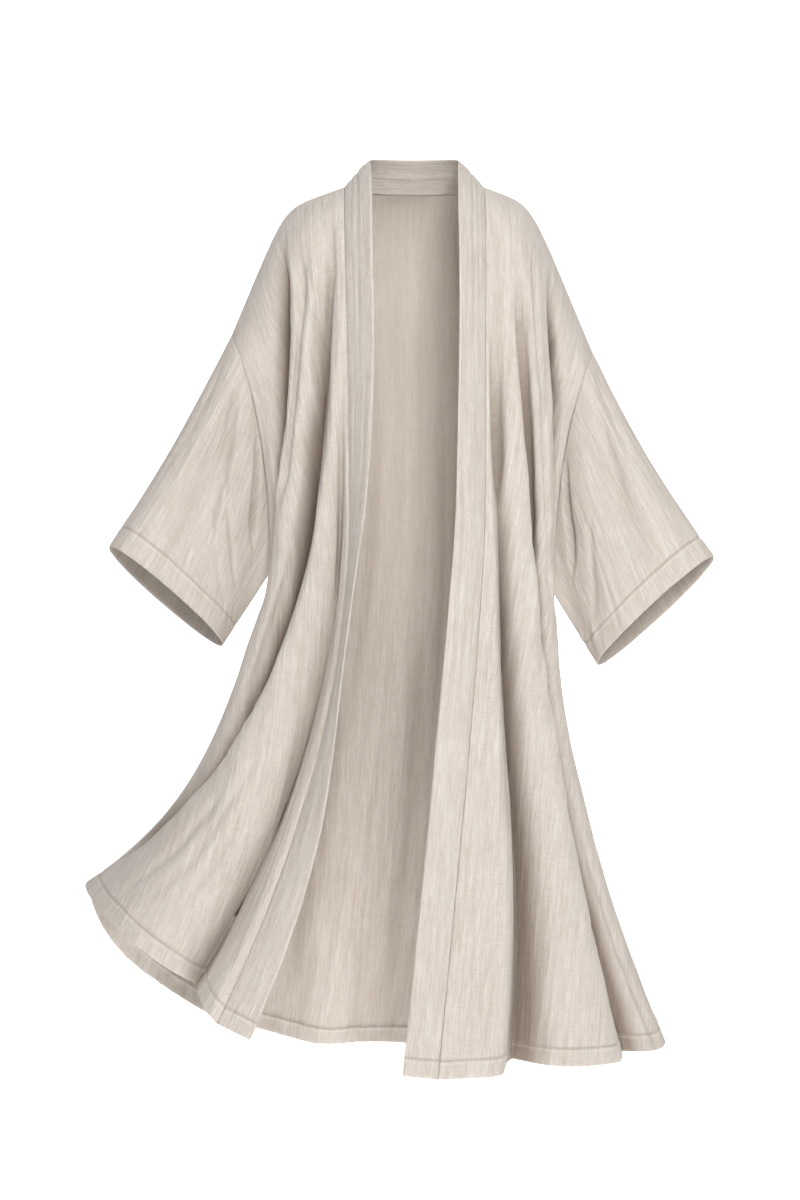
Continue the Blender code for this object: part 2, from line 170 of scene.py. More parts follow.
class Edge(Enum):
    """How one border of a cut piece is finished."""

    SEAM = "sewn to its neighbour"
    HEM = "turned up and stitched"
    FOLD = "folded edge of a doubled strip"


@dataclass(frozen=True)
class HalfSizes:
    """Sizes of one half. Lengths go out from the middle, levels are heights below the neck points."""

    half: Half
    shoulder_out: float
    armhole_out: float
    underarm_out: float
    cuff_top_out: float
    cuff_top_level: float
    cuff_low_out: float
    cuff_low_level: float
    edge_out: float
    edge_swing: float
    edge_bend: float
    side_drift: float
    side_swing: float
    side_bend: float
    hem_edge_level: float
    hem_side_level: float
    hem_curve: float
    back_lift_from: float

    @property
    def sign(self) -> float:
        """Sign of X on this half."""
        return self.half.value


LEFT = HalfSizes(
    half=Half.LEFT,
    shoulder_out=0.181,
    armhole_out=0.255,
    underarm_out=0.200,
    cuff_top_out=0.427,
    cuff_top_level=-0.505,
    cuff_low_out=0.269,
    cuff_low_level=-0.641,
    edge_out=0.088,
    edge_swing=0.171,
    edge_bend=1.9,
    side_drift=0.145,
    side_swing=0.112,
    side_bend=4.6,
    hem_edge_level=-1.132,
    hem_side_level=-0.972,
    hem_curve=0.9,
    back_lift_from=0.10,
)
RIGHT = HalfSizes(
    half=Half.RIGHT,
    shoulder_out=0.163,
    armhole_out=0.250,
    underarm_out=0.195,
    cuff_top_out=0.420,
    cuff_top_level=-0.519,
    cuff_low_out=0.258,
    cuff_low_level=-0.668,
    edge_out=0.096,
    edge_swing=-0.066,
    edge_bend=1.2,
    side_drift=0.0,
    side_swing=0.156,
    side_bend=1.7,
    hem_edge_level=-1.205,
    hem_side_level=-1.195,
    hem_curve=1.0,
    back_lift_from=0.50,
)


@dataclass(frozen=True)
class Trough:
    """One large soft fold of a panel, as in the part's solids.

    Spaces counts columns from the trough before it. The path holds (fall, share) pairs, the depths are at its
    start, middle and end, and the widths are those of its inner and outer slopes as shares. Shade is the
    strength of the painted shade beside it.
    """

    name: str
    spaces: int
    path: Pairs
    inner_width: float
    outer_width: float
    depths: tuple[float, float, float]
    pinch: float
    shade: float = 1.0


def flute(name: str, path: Pairs, width: float, depths: tuple[float, float, float]) -> Trough:
    """Gives one even fold of the back."""
    return Trough(name, FLUTE_SPACES, path, width, width, depths, FLUTE_PINCH)


TROUGHS_LEFT = (
    Trough(
        "edge_trough", 4, ((0.28, 0.055), (0.58, 0.058), (0.72, 0.066), (0.90, 0.080), (1.20, 0.115)),
        inner_width=0.04, outer_width=0.13, depths=(0.0, 0.044, 0.085), pinch=0.1, shade=0.5,
    ),
    Trough(
        "main_trough", 5,
        ((0.06, 0.12), (0.21, 0.15), (0.33, 0.23), (0.45, 0.34), (0.67, 0.46), (0.87, 0.63), (1.06, 0.89)),
        inner_width=0.05, outer_width=0.15, depths=(0.0, 0.080, 0.055), pinch=0.0,
    ),
    Trough(
        "arm_trough", 5,
        ((0.03, 0.56), (0.14, 0.565), (0.20, 0.59), (0.29, 0.67), (0.36, 0.79), (0.44, 0.92)),
        inner_width=0.04, outer_width=0.12, depths=(0.0, 0.060, 0.045), pinch=0.0, shade=1.2,
    ),
)
TROUGHS_RIGHT = (
    Trough(
        "edge_trough", 4,
        ((0.20, 0.06), (0.37, 0.09), (0.57, 0.17), (0.77, 0.24), (0.98, 0.265), (1.20, 0.22)),
        inner_width=0.035, outer_width=0.10, depths=(0.0, 0.060, 0.090), pinch=0.0, shade=0.75,
    ),
    Trough(
        "chest_trough", 5,
        ((0.10, 0.30), (0.29, 0.39), (0.45, 0.51), (0.62, 0.64), (0.85, 0.67), (1.20, 0.63)),
        inner_width=0.04, outer_width=0.09, depths=(0.0, 0.048, 0.050), pinch=0.0,
    ),
    Trough(
        "arm_trough", 5, ((0.04, 0.62), (0.13, 0.68), (0.22, 0.79), (0.32, 0.87), (0.42, 0.91)),
        inner_width=0.04, outer_width=0.055, depths=(0.0, 0.058, 0.036), pinch=0.0, shade=1.2,
    ),
)
TROUGHS_BACK = (
    flute("left_side", ((0.40, -0.74), (1.20, -0.78)), 0.090, (0.0, 0.020, 0.022)),
    flute("left_mid", ((0.22, -0.40), (0.80, -0.40), (1.20, -0.42)), 0.085, (0.0, 0.022, 0.052)),
    flute("centre", ((0.45, -0.08), (1.20, -0.13)), 0.080, (0.0, 0.020, 0.042)),
    flute("right_inner", ((0.20, 0.20), (0.70, 0.19), (1.20, 0.15)), 0.085, (0.0, 0.024, 0.052)),
    flute("right_mid", ((0.50, 0.46), (1.20, 0.44)), 0.085, (0.0, 0.020, 0.048)),
    flute("right_side", ((0.35, 0.74), (1.20, 0.71)), 0.090, (0.0, 0.022, 0.048)),
)
BAND_TURN_LEFT: Pairs = (
    (0.0, 43.0), (0.05, 43.0), (0.12, 42.0), (0.30, 46.0),
    (0.62, 80.0), (0.74, 76.0), (0.92, 48.0), (1.20, 12.0),
)
BAND_TURN_RIGHT: Pairs = (
    (0.0, 43.0), (0.05, 43.0), (0.12, 44.0), (0.24, 44.0),
    (0.40, 39.0), (0.60, 30.0), (1.20, 22.0),
)


@dataclass
class Surface:
    """Outer face of one cut piece as a grid of points, rows running down the cloth.

    Attributes:
        points: Grid of points, rows by columns by 3.
        fall: Fall of each row of points, or its share of a sleeve's length.
        share: Place of every point across the piece.
        outward: 1.0 where the grid's own normals face out of the jacket, and -1.0 where they face in.
        around: Whether the first and last columns meet in a closing seam.
        shade: Strength of the painted shade at each point in the shelter of a large fold, from 0 to 1.
    """

    points: Array
    fall: Array
    share: Array
    outward: float
    around: bool = False
    shade: Array | float = 0.0

    def facing(self) -> Array:
        """Gives the unit normals that face out of the jacket.

        Returns:
            One normal for each point.
        """
        points = self.points
        across = np.gradient(points, axis=1)
        if self.around:
            across[:, [0, -1]] = (points[:, 1:2] - points[:, -2:-1]) / 2.0
        return unit(np.cross(across, np.gradient(points, axis=0))) * self.outward

    def across(self) -> Array:
        """Gives the length along each row from its first point."""
        step = np.linalg.norm(np.diff(self.points, axis=1), axis=2)
        return np.concatenate([np.zeros((len(step), 1)), np.cumsum(step, axis=1)], axis=1)

    def along(self) -> Array:
        """Gives the length down each column from its first point."""
        step = np.linalg.norm(np.diff(self.points, axis=0), axis=2)
        return np.concatenate([np.zeros((1, step.shape[1])), np.cumsum(step, axis=0)], axis=0)

    def raised(self, height: Array) -> "Surface":
        """Gives the surface with its points moved out by a height."""
        points = self.points + self.facing() * height[..., None]
        return Surface(points, self.fall, self.share, self.outward, self.around)


@dataclass(frozen=True)
class JacketForm:
    """The smooth filled-out form of the jacket, with the same sizes as the part's solids, on finer grids.

    A sleeve valley is a depth, the turn round the sleeve where it lies and its half width, in radians.
    """

    neck_out: float = 0.097
    neck_back: float = 0.072
    shoulder_slope: float = 0.35
    arm_slope: float = 2.40
    shoulder_round: float = 0.010
    underarm_fall: float = 0.475
    fall_growth: float = 1.6
    shoulder_drop: float = 0.13
    chest_deep: float = 0.128
    back_deep: float = 0.112
    arm_deep: float = 0.064
    nominal_fall: float = 1.20
    hem_front_deep: float = 0.225
    hem_back_deep: float = 0.205
    back_swing: float = -0.06
    back_hem: float = -1.232
    fold_lift: float = 0.06
    fold_sideways: float = 0.30
    fold_room: float = 0.80
    fold_tuck: float = 1.15
    # Painted shade beside each trough: its reach on the inner and outer sides, in trough widths, and the
    # depth at which it is full.
    shade_edge: float = 0.45
    shade_reach: float = 0.95
    shade_depth: float = 0.050
    hem_depth: float = 0.024
    cuff_half_deep: float = 0.050
    cuff_tilt: float = 0.0145
    cuff_hem: float = 0.033
    sleeve_sag: float = 0.008
    band_width: float = 0.050
    band_bow: float = 0.002
    row_gap: float = 0.006
    guided_from: float = 0.35
    oval_from: float = 0.2
    arm_from: float = 0.25
    arm_to: float = 0.95
    chest_from: float = 0.25
    oval_power: float = 0.7
    oval_hem_power: float = 0.95
    flare_power: float = 1.3
    swing_power: float = 1.6
    lift_power: float = 1.5
    fold_least: float = 0.5
    fold_end: float = 0.10
    fold_limit: float = 4.0
    cuff_back: float = 0.012
    cuff_power: float = 0.9
    cuff_row_gap: float = 0.012
    sleeve_bulge: float = 0.010
    sleeve_valleys: tuple[tuple[float, float, float], ...] = ((0.018, 1.45, 0.30), (-0.012, 4.9, 0.32))
    valley_grown: float = 0.35
    valley_fade: float = 0.6
    neck_lean_middle: float = 12.0
    neck_lean_ends: float = 47.0
    front_spaces: int = 18
    neck_spaces: int = 10
    upper_spaces: int = 10
    lower_spaces: int = 15
    sleeve_spaces: int = 9
    row_parts: int = 7
    front_parts: int = 10
    back_parts: int = 5
    sleeve_parts: int = 9
    band_columns: int = 20

    def rows(self) -> Array:
        """Gives the place of each row: 0 at the shoulder line, 1 at the underarm, 2 at the hem."""
        upper = np.linspace(0.0, 1.0, self.upper_spaces + 1)
        hem = self.hem_depth / (self.nominal_fall - self.underarm_fall)
        lower = np.linspace(1.0, 2.0 - hem - self.row_gap, self.lower_spaces - 1)[1:]
        return refined(np.concatenate([upper, lower, [2.0 - hem, 2.0]]), self.row_parts)

    def soft_passes(self) -> int:
        """Gives the passes that even fine rows as one pass evens the solids' rows."""
        return self.row_parts**2

    def falls(self, place: Array) -> Array:
        """Gives the nominal fall of each row."""
        upper, lower = np.clip(place, 0.0, 1.0), np.clip(place - 1.0, 0.0, 1.0)
        return self.underarm_fall * upper**self.fall_growth + (self.nominal_fall - self.underarm_fall) * lower

    def shoulder_level(self, out: Array, tip: Array) -> Array:
        """Gives the height of the shoulder and arm line at a distance out, with its bend at tip."""
        past_tip = self.shoulder_round * np.logaddexp(0.0, (out - tip) / self.shoulder_round)
        slope = self.arm_slope - self.shoulder_slope
        return -self.shoulder_slope * np.maximum(out - self.neck_out, 0.0) - slope * past_tip

    def rounding(self, fall: Array) -> Array:
        """Gives how far the cloth has rounded over the shoulder at a fall, from 0 to 1."""
        return np.sqrt(1.0 - (1.0 - np.clip(fall / self.shoulder_drop, 0.0, 1.0)) ** 2)

    def armhole_out(self, side: HalfSizes, upper: Array) -> Array:
        """Gives the distance out of the armhole seam."""
        return mix(side.underarm_out, side.armhole_out, (1.0 - upper**self.fall_growth) ** 2)

    def side_seam_out(self, side: HalfSizes, lower: Array) -> Array:
        """Gives the distance out of the side seam."""
        return side.underarm_out + side.side_drift * lower + side.side_swing * lower**side.side_bend

    def stations(self, place: Array) -> tuple[Array, Array, Array, Array]:
        """Gives each row's shares above and below the underarm, whether it lies below, and its fall above."""
        upper = np.clip(place, 0.0, 1.0)[:, None]
        lower = np.clip(place - 1.0, 0.0, 1.0)[:, None]
        return upper, lower, place[:, None] > 1.0, self.underarm_fall * upper**self.fall_growth

    def chest_depth(self, deep: float, share: Array, cosine: Array, upper: Array) -> Array:
        """Gives a panel's depth above the underarm, before it rounds over the shoulder."""
        level = mix(deep, self.arm_deep, smooth(self.arm_from, self.arm_to, share))
        return mix(level, deep * cosine**self.oval_power, smooth(self.chest_from, 1.0, upper))

    def skirt_depth(self, deep: float, hem_deep: float, cosine: Array, lower: Array) -> Array:
        """Gives a panel's depth below the underarm."""
        power = mix(self.oval_power, self.oval_hem_power, lower)
        return mix(deep, hem_deep, lower**self.flare_power) * cosine**power

    def front_shares(self, troughs: tuple[Trough, ...], place: Array) -> Array:
        """Gives the shares of a front's columns, which run along its troughs below the shoulder.

        Args:
            troughs: The front's large folds.
            place: Place of each row.

        Returns:
            Shares, rows by columns.
        """
        falls = self.falls(place)
        knots = [np.zeros_like(falls)] + [eased(t.path, falls) for t in troughs] + [np.ones_like(falls)]
        counts = [t.spaces for t in troughs]
        counts.append(self.front_spaces - sum(counts))
        columns = [knots[0]]
        for first, last, count in zip(knots[:-1], knots[1:], counts):
            steps = count * self.front_parts
            columns += [mix(first, last, (step + 1) / steps) for step in range(steps)]
        guided = np.stack(columns, axis=1)
        even = np.linspace(0.0, 1.0, guided.shape[1])[None, :]
        return mix(even, guided, smooth(0.0, self.guided_from, np.clip(place, 0.0, 1.0))[:, None])

    def front(self, side: HalfSizes, troughs: tuple[Trough, ...]) -> Surface:
        """Builds one front: rows from shoulder to hem, columns from the band seam to the outer edge.

        Args:
            side: Sizes of this half.
            troughs: The front's large folds.

        Returns:
            The folded surface.
        """
        place = self.rows()
        share = self.front_shares(troughs, place)
        upper, lower, below, fall = self.stations(place)
        sine, cosine = quarter(share)
        wide = mix(share, sine, smooth(self.oval_from, 1.0, upper))
        inner = np.where(
            below,
            side.edge_out + side.edge_swing * lower**side.edge_bend,
            mix(self.neck_out, side.edge_out, smooth(0.0, 1.0, upper)),
        )
        outer = np.where(below, self.side_seam_out(side, lower), self.armhole_out(side, upper))
        out = mix(inner, outer, wide)
        depth = self.chest_depth(self.chest_deep, share, cosine, upper) * self.rounding(fall)
        low_depth = self.skirt_depth(self.chest_deep, self.hem_front_deep, cosine, lower)
        underarm = self.shoulder_level(mix(side.edge_out, side.underarm_out, sine), side.shoulder_out)
        hem = mix(side.hem_edge_level, side.hem_side_level, sine**side.hem_curve)
        level = np.where(
            below,
            mix(underarm - self.underarm_fall, hem, lower),
            self.shoulder_level(out, side.shoulder_out) - fall,
        )
        points = np.stack([side.sign * out, -np.where(below, low_depth, depth), level], axis=-1)
        plain = Surface(softened(points, self.soft_passes()), self.falls(place), share, -side.sign)
        return self.folded(plain, troughs)

    def back(self) -> Surface:
        """Builds the back: rows from the shoulders and neck to the hem, columns from left to right.

        Returns:
            The folded surface.
        """
        place = self.rows()
        columns = (self.neck_spaces + 2 * self.front_spaces) * self.back_parts + 1
        neck_edge = self.neck_spaces / (self.neck_spaces + 2.0 * self.front_spaces)
        share = np.broadcast_to(np.linspace(-1.0, 1.0, columns)[None, :], (len(place), columns))
        upper, lower, below, fall = self.stations(place)
        size = np.abs(share)
        left = share < 0.0
        on_shoulder = np.clip((size - neck_edge) / (1.0 - neck_edge), 0.0, 1.0)
        neck_sine, neck_cosine = quarter(size / neck_edge)
        sine, cosine = quarter(size)
        top_armhole = np.where(left, LEFT.armhole_out, RIGHT.armhole_out)
        on_neck = self.neck_out * neck_sine
        top_out = np.where(size > neck_edge, mix(self.neck_out, top_armhole, on_shoulder), on_neck)
        armhole = np.where(left, self.armhole_out(LEFT, upper), self.armhole_out(RIGHT, upper))
        out = armhole * mix(top_out / top_armhole, sine, smooth(0.0, 1.0, upper))
        seam = np.where(left, -self.side_seam_out(LEFT, lower), self.side_seam_out(RIGHT, lower))
        swing = self.back_swing * lower**self.swing_power
        across = np.where(below, mix(swing, seam, sine), np.sign(share) * out)
        depth = self.chest_depth(self.back_deep, on_shoulder, cosine, upper)
        depth = mix(self.neck_back * neck_cosine, depth, self.rounding(fall))
        low_depth = self.skirt_depth(self.back_deep, self.hem_back_deep, cosine, lower)
        underarm = np.where(left, LEFT.underarm_out, RIGHT.underarm_out)
        tip = np.where(left, LEFT.shoulder_out, RIGHT.shoulder_out)
        underarm_level = self.shoulder_level(underarm * sine, tip) - self.underarm_fall
        side_level = np.where(left, LEFT.hem_side_level, RIGHT.hem_side_level)
        lift_from = np.where(left, LEFT.back_lift_from, RIGHT.back_lift_from)
        lift = np.clip((size - lift_from) / (1.0 - lift_from), 0.0, 1.0) ** self.lift_power
        low_level = mix(underarm_level, mix(self.back_hem, side_level, lift), lower)
        level = np.where(below, low_level, self.shoulder_level(out, tip) - fall)
        points = np.stack([across, np.where(below, low_depth, depth), level], axis=-1)
        plain = Surface(softened(points, self.soft_passes()), self.falls(place), share, 1.0)
        return self.folded(plain, TROUGHS_BACK)

    def folded(self, plain: Surface, troughs: tuple[Trough, ...], seam_width: float = 0.05) -> Surface:
        """Presses the large folds into a panel, whose outer edges stay where they are.

        Args:
            plain: The smooth panel.
            troughs: Its large folds.
            seam_width: Share over which the folds fade towards the panel's edges.

        Returns:
            The folded panel.
        """
        points, share, falls = plain.points, plain.share, plain.fall
        facing = plain.facing() * np.array([self.fold_sideways, 1.0, 0.0])
        facing = facing / np.maximum(np.linalg.norm(facing, axis=2, keepdims=True), self.fold_least)
        across = unit(np.gradient(points, axis=1))
        hold = smooth(0.0, seam_width, share - share[:, :1]) * smooth(0.0, seam_width, share[:, -1:] - share)
        inward, sideways, shade = (np.zeros(points.shape[:2]) for _ in range(3))
        for trough in troughs:
            start, end = trough.path[0][0], trough.path[-1][0]
            reach = np.clip((falls - start) / (end - start), 0.0, 1.0)
            first, middle, last = trough.depths
            depth = eased(((0.0, first), (0.5, middle), (1.0, last)), reach)
            depth = depth * (1.0 - smooth(0.0, self.fold_end, falls - end))
            aside = share - eased(trough.path, falls)[:, None]
            away = aside / np.where(aside < 0.0, trough.inner_width, trough.outer_width)
            bell = np.exp(-np.where(away < 0.0, away**2, np.abs(away) ** self.fold_tuck))
            inward += depth[:, None] * bell
            sideways -= trough.pinch * depth[:, None] * away * bell
            # Painted shade in the shelter of the trough, strongest at its line and reaching further out than
            # in.
            shelter = away / np.where(away < 0.0, self.shade_edge, self.shade_reach)
            dark = trough.shade * np.clip(depth / self.shade_depth, 0.0, 1.0)
            shade = np.maximum(shade, dark[:, None] * np.exp(-(shelter**2)))
        room = np.maximum(self.fold_room * np.abs(points[..., 1]), TINY)
        inward = inward / (1.0 + (inward / room) ** self.fold_limit) ** (1.0 / self.fold_limit)
        moved = points - facing * (inward * hold)[..., None] + across * (sideways * hold)[..., None]
        moved[..., 2] += self.fold_lift * inward * hold
        return Surface(moved, falls, share, plain.outward, shade=shade * hold)

    def sleeve(self, side: HalfSizes, front: Surface, back: Surface) -> Surface:
        """Builds one sleeve from the armhole edges of its two panels to the cuff, closed under the arm.

        Args:
            side: Sizes of this half.
            front: The front panel of this half.
            back: The back panel.

        Returns:
            The sleeve, with its rows as rings and its first and last columns under the arm.
        """
        rows = self.upper_spaces * self.row_parts
        back_edge = back.points[:, 0 if side.half is Half.LEFT else -1]
        armhole = np.concatenate([front.points[: rows + 1, -1], back_edge[1:rows][::-1]])
        turn = np.linspace(0.0, 2.0 * math.pi, 2 * rows, endpoint=False)
        top = np.array([side.sign * side.cuff_top_out, 0.0, side.cuff_top_level])
        low = np.array([side.sign * side.cuff_low_out, self.cuff_back, side.cuff_low_level])
        middle, half = (top + low) / 2.0, (top - low) / 2.0
        run = unit(middle - armhole.mean(axis=0))
        waves = (np.cos(turn), np.sin(turn))
        flat, deep = (np.sign(wave) * np.abs(wave) ** self.cuff_power for wave in waves)
        forward = np.array([0.0, -1.0, 0.0])
        cuff = (
            middle
            + flat[:, None] * half
            + self.cuff_half_deep * deep[:, None] * forward
            - self.cuff_tilt * deep[:, None] * run
        )
        hem = self.cuff_hem / np.linalg.norm(top - armhole[0])
        plain = np.linspace(0.0, 1.0 - hem - self.cuff_row_gap, self.sleeve_spaces - 1)
        share = refined(np.concatenate([plain, [1.0 - hem, 1.0]]), self.sleeve_parts)
        rings = mix(armhole[None], cuff[None], share[:, None, None])
        rings[..., 1] -= self.sleeve_bulge * np.sin(math.pi * share)[:, None] * np.sin(turn)[None, :]
        sag = self.sleeve_sag * np.sin(math.pi * share)[:, None] * np.clip(np.cos(turn), 0.0, 1.0)[None, :]
        rings -= sag[..., None] * unit(half)
        fade = 1.0 - self.valley_fade * smooth(self.valley_fade, 1.0, share)
        fade = smooth(0.0, self.valley_grown, share) * fade
        for depth, middle_turn, width in self.sleeve_valleys:
            valley = np.exp(-(((turn - middle_turn) / width) ** 2))
            rings[..., 1] += depth * fade[:, None] * valley[None, :]
        opened = np.roll(rings, -rows, axis=1)
        opened = np.concatenate([opened, opened[:, :1]], axis=1)
        finer = np.stack([np.stack([refined(line, 2) for line in ring.T], axis=-1) for ring in opened])
        beside = 0.5 * (np.roll(finer, 2, 1) + np.roll(finer, -2, 1))
        finer[:, 1::2] += (finer - beside)[:, 1::2] * CURVE_LIFT
        across = np.broadcast_to(np.linspace(0.0, 1.0, finer.shape[1])[None, :], finer.shape[:2])
        return Surface(finer, share, across, side.sign, around=True)

    def band_directions(self, side: HalfSizes, front: Surface, turns: Pairs) -> Array:
        """Gives the unit directions from the band seam to the free edge down one front.

        Args:
            side: Sizes of this half.
            front: The front panel of this half, whose first column is the seam.
            turns: Turn of the band up and forward from the front, in degrees at each fall.

        Returns:
            One direction for each row, square to the run of the seam.
        """
        run = unit(softened(np.gradient(front.points[:, 0], axis=0), self.soft_passes()))
        inward = np.array([-side.sign, 0.0, 0.0])
        level = unit(inward - run * (run @ inward)[:, None])
        raised = np.cross(level, run) * side.sign
        angle = np.radians(eased(turns, front.fall))[:, None]
        return level * np.cos(angle) + raised * np.sin(angle)

    def band(self, left: Surface, right: Surface, back: Surface) -> Surface:
        """Builds the collar band: rows from left hem round the neck to right hem, columns to its free edge.

        Args:
            left: The left front.
            right: The right front.
            back: The back panel.

        Returns:
            The band.
        """
        spaces = self.neck_spaces * self.back_parts
        first = self.front_spaces * self.back_parts
        place = np.linspace(0.0, 1.0, spaces + 1)[1:-1]
        turn = math.pi * (place - 0.5)
        inward = np.stack([-np.sin(turn), -np.cos(turn), np.zeros_like(turn)], axis=-1)
        slope = np.radians(mix(self.neck_lean_middle, self.neck_lean_ends, np.sin(turn) ** 2))[:, None]
        neck = inward * np.sin(slope) + np.array([0.0, 0.0, 1.0]) * np.cos(slope)
        back_neck = back.points[0, first + 1 : first + spaces]
        seam = np.concatenate([left.points[::-1, 0], back_neck, right.points[:, 0]])
        toward = np.concatenate(
            [
                self.band_directions(LEFT, left, BAND_TURN_LEFT)[::-1],
                neck,
                self.band_directions(RIGHT, right, BAND_TURN_RIGHT),
            ]
        )
        toward = softened(toward, 2 * self.soft_passes())
        run = unit(softened(np.gradient(seam, axis=0), self.row_parts))
        toward = unit(toward - run * np.sum(toward * run, axis=1, keepdims=True))
        facing = np.cross(toward, run)
        across = np.linspace(0.0, 1.0, self.band_columns + 1)
        bow = 4.0 * self.band_bow * across * (1.0 - across)
        points = seam[:, None, :] + self.band_width * across[None, :, None] * toward[:, None, :]
        points = points + bow[None, :, None] * facing[:, None, :]
        fall = np.concatenate([left.fall[::-1], np.zeros(spaces - 1), right.fall])
        share = np.broadcast_to(across[None, :], points.shape[:2])
        return Surface(points, fall, share, 1.0)


@dataclass(frozen=True)
class Crease:
    """One crease: a soft trough, or a ridge where its depth is negative.

    Attributes:
        name: What it is.
        path: (fall, share) points that it follows.
        width: Half width of its slopes, in metres.
        depth: Depth at its deepest.
        lean: Above 0 its slope towards the first edge is the steeper one, below 0 the other.
        runs_out: Whether it runs on through the hem and doesn't fade before it.
    """

    name: str
    path: Pairs
    width: float
    depth: float
    lean: float = 0.0
    runs_out: bool = False

    def press(self, surface: Surface, across: Array) -> Array:
        """Gives how far the crease moves each point of a surface out.

        Args:
            surface: The surface to press into.
            across: Length along each row.

        Returns:
            Heights, below 0 where it goes in.
        """
        start, end = self.path[0][0], self.path[-1][0]
        reach = np.clip((surface.fall - start) / (end - start), 0.0, 1.0)
        inside = (surface.fall >= start) & ((surface.fall <= end) | self.runs_out)
        fade = smooth(0.0, FADE_IN, reach) * (1.0 if self.runs_out else 1.0 - smooth(FADE_OUT, 1.0, reach))
        line = eased(self.path, surface.fall)
        centre = np.array([np.interp(x, share, u) for x, share, u in zip(line, surface.share, across)])
        away = across - centre[:, None]
        away = away / (self.width * np.where(away < 0.0, 1.0 - self.lean, 1.0 + self.lean))
        return -self.depth * (fade * inside)[:, None] * np.exp(-(away**2))


@dataclass(frozen=True)
class CrinkleLayer:
    """One size of crinkle: its usual width, length and height."""

    across: float
    along: float
    height: float
    seed: int


@dataclass(frozen=True)
class Crinkle:
    """Uneven lengthwise crinkle of washed double gauze."""

    layers: tuple[CrinkleLayer, ...] = (
        CrinkleLayer(across=0.034, along=0.34, height=0.0020, seed=11),
        CrinkleLayer(across=0.016, along=0.20, height=0.0012, seed=12),
        CrinkleLayer(across=0.0085, along=0.12, height=0.0006, seed=13),
    )
    layer_start: float = 40.0
    wander: float = 0.006
    wander_size: tuple[float, float] = (0.07, 0.16)
    wander_seed: int = 5
    patch_least: float = 0.75
    patch_range: float = 0.5
    patch_size: tuple[float, float] = (0.12, 0.25)
    patch_start: float = 9.0
    patch_seed: int = 21

    def heights(self, across: Array, along: Array, shift: int) -> Array:
        """Gives the height of the crinkle at each point.

        Args:
            across: Length across the grain, in metres.
            along: Length along the grain, in metres.
            shift: Added to the seeds, so that each piece has its own crinkle.

        Returns:
            Heights in metres.
        """
        wide, long = self.wander_size
        drift = self.wander * ripple(across / wide, along / long, self.wander_seed + shift)
        total = np.zeros_like(across)
        for layer in self.layers:
            column = (across + drift) / layer.across + self.layer_start
            row = along / layer.along + self.layer_start
            total += layer.height * ripple(column, row, layer.seed + shift)
        wide, long = self.patch_size
        column, row = across / wide + self.patch_start, along / long + self.patch_start
        return total * (self.patch_least + self.patch_range * ripple(column, row, self.patch_seed + shift))


@dataclass(frozen=True)
class Cut:
    """Flat cut of a piece: the rectangle that it is cut from and the area of the cut."""

    width: float
    length: float
    area: float


def placed(name: str, data: bpy.types.ID) -> bpy.types.Object:
    """Puts a mesh, light or camera into the scene as an object."""
    made = bpy.data.objects.new(name, data)
    bpy.context.scene.collection.objects.link(made)
    return made


def plain_material(name: str, values: dict[str, object]) -> tuple[bpy.types.Material, bpy.types.Node]:
    """Makes a material and sets plain values on its shader.

    Args:
        name: Name of the material.
        values: Value of each of the shader's sockets that isn't left as it comes.

    Returns:
        The material and its shader.
    """
    material = bpy.data.materials.new(name)
    material.use_nodes = True
    shader = material.node_tree.nodes["Principled BSDF"]
    for socket, value in values.items():
        shader.inputs[socket].default_value = value
    return material, shader


def mottled_material(
    name: str, colours: tuple[Colour, Colour], repeats: float, values: dict[str, object]
) -> bpy.types.Material:
    """Makes a material whose colour wavers between two, on object coordinates.

    Args:
        name: Name of the material.
        colours: The two colours.
        repeats: Repeats of the waver in a metre.
        values: Plain values of the shader's sockets.

    Returns:
        The material.
    """
    material, shader = plain_material(name, values)
    tree = material.node_tree
    place = tree.nodes.new("ShaderNodeTexCoord")
    texture = tree.nodes.new("ShaderNodeTexNoise")
    texture.inputs["Scale"].default_value = repeats
    ramp = tree.nodes.new("ShaderNodeValToRGB")
    for element, colour in zip(ramp.color_ramp.elements, colours):
        element.color = (*colour, 1.0)
    tree.links.new(place.outputs["Object"], texture.inputs["Vector"])
    tree.links.new(texture.outputs["Fac"], ramp.inputs["Fac"])
    tree.links.new(ramp.outputs["Color"], shader.inputs["Base Color"])
    return material


@dataclass(frozen=True)
class Mottle:
    """One noise in the cloth: its repeats in a metre across and along the grain, and its detail."""

    label: str
    across: float
    along: float
    detail: float


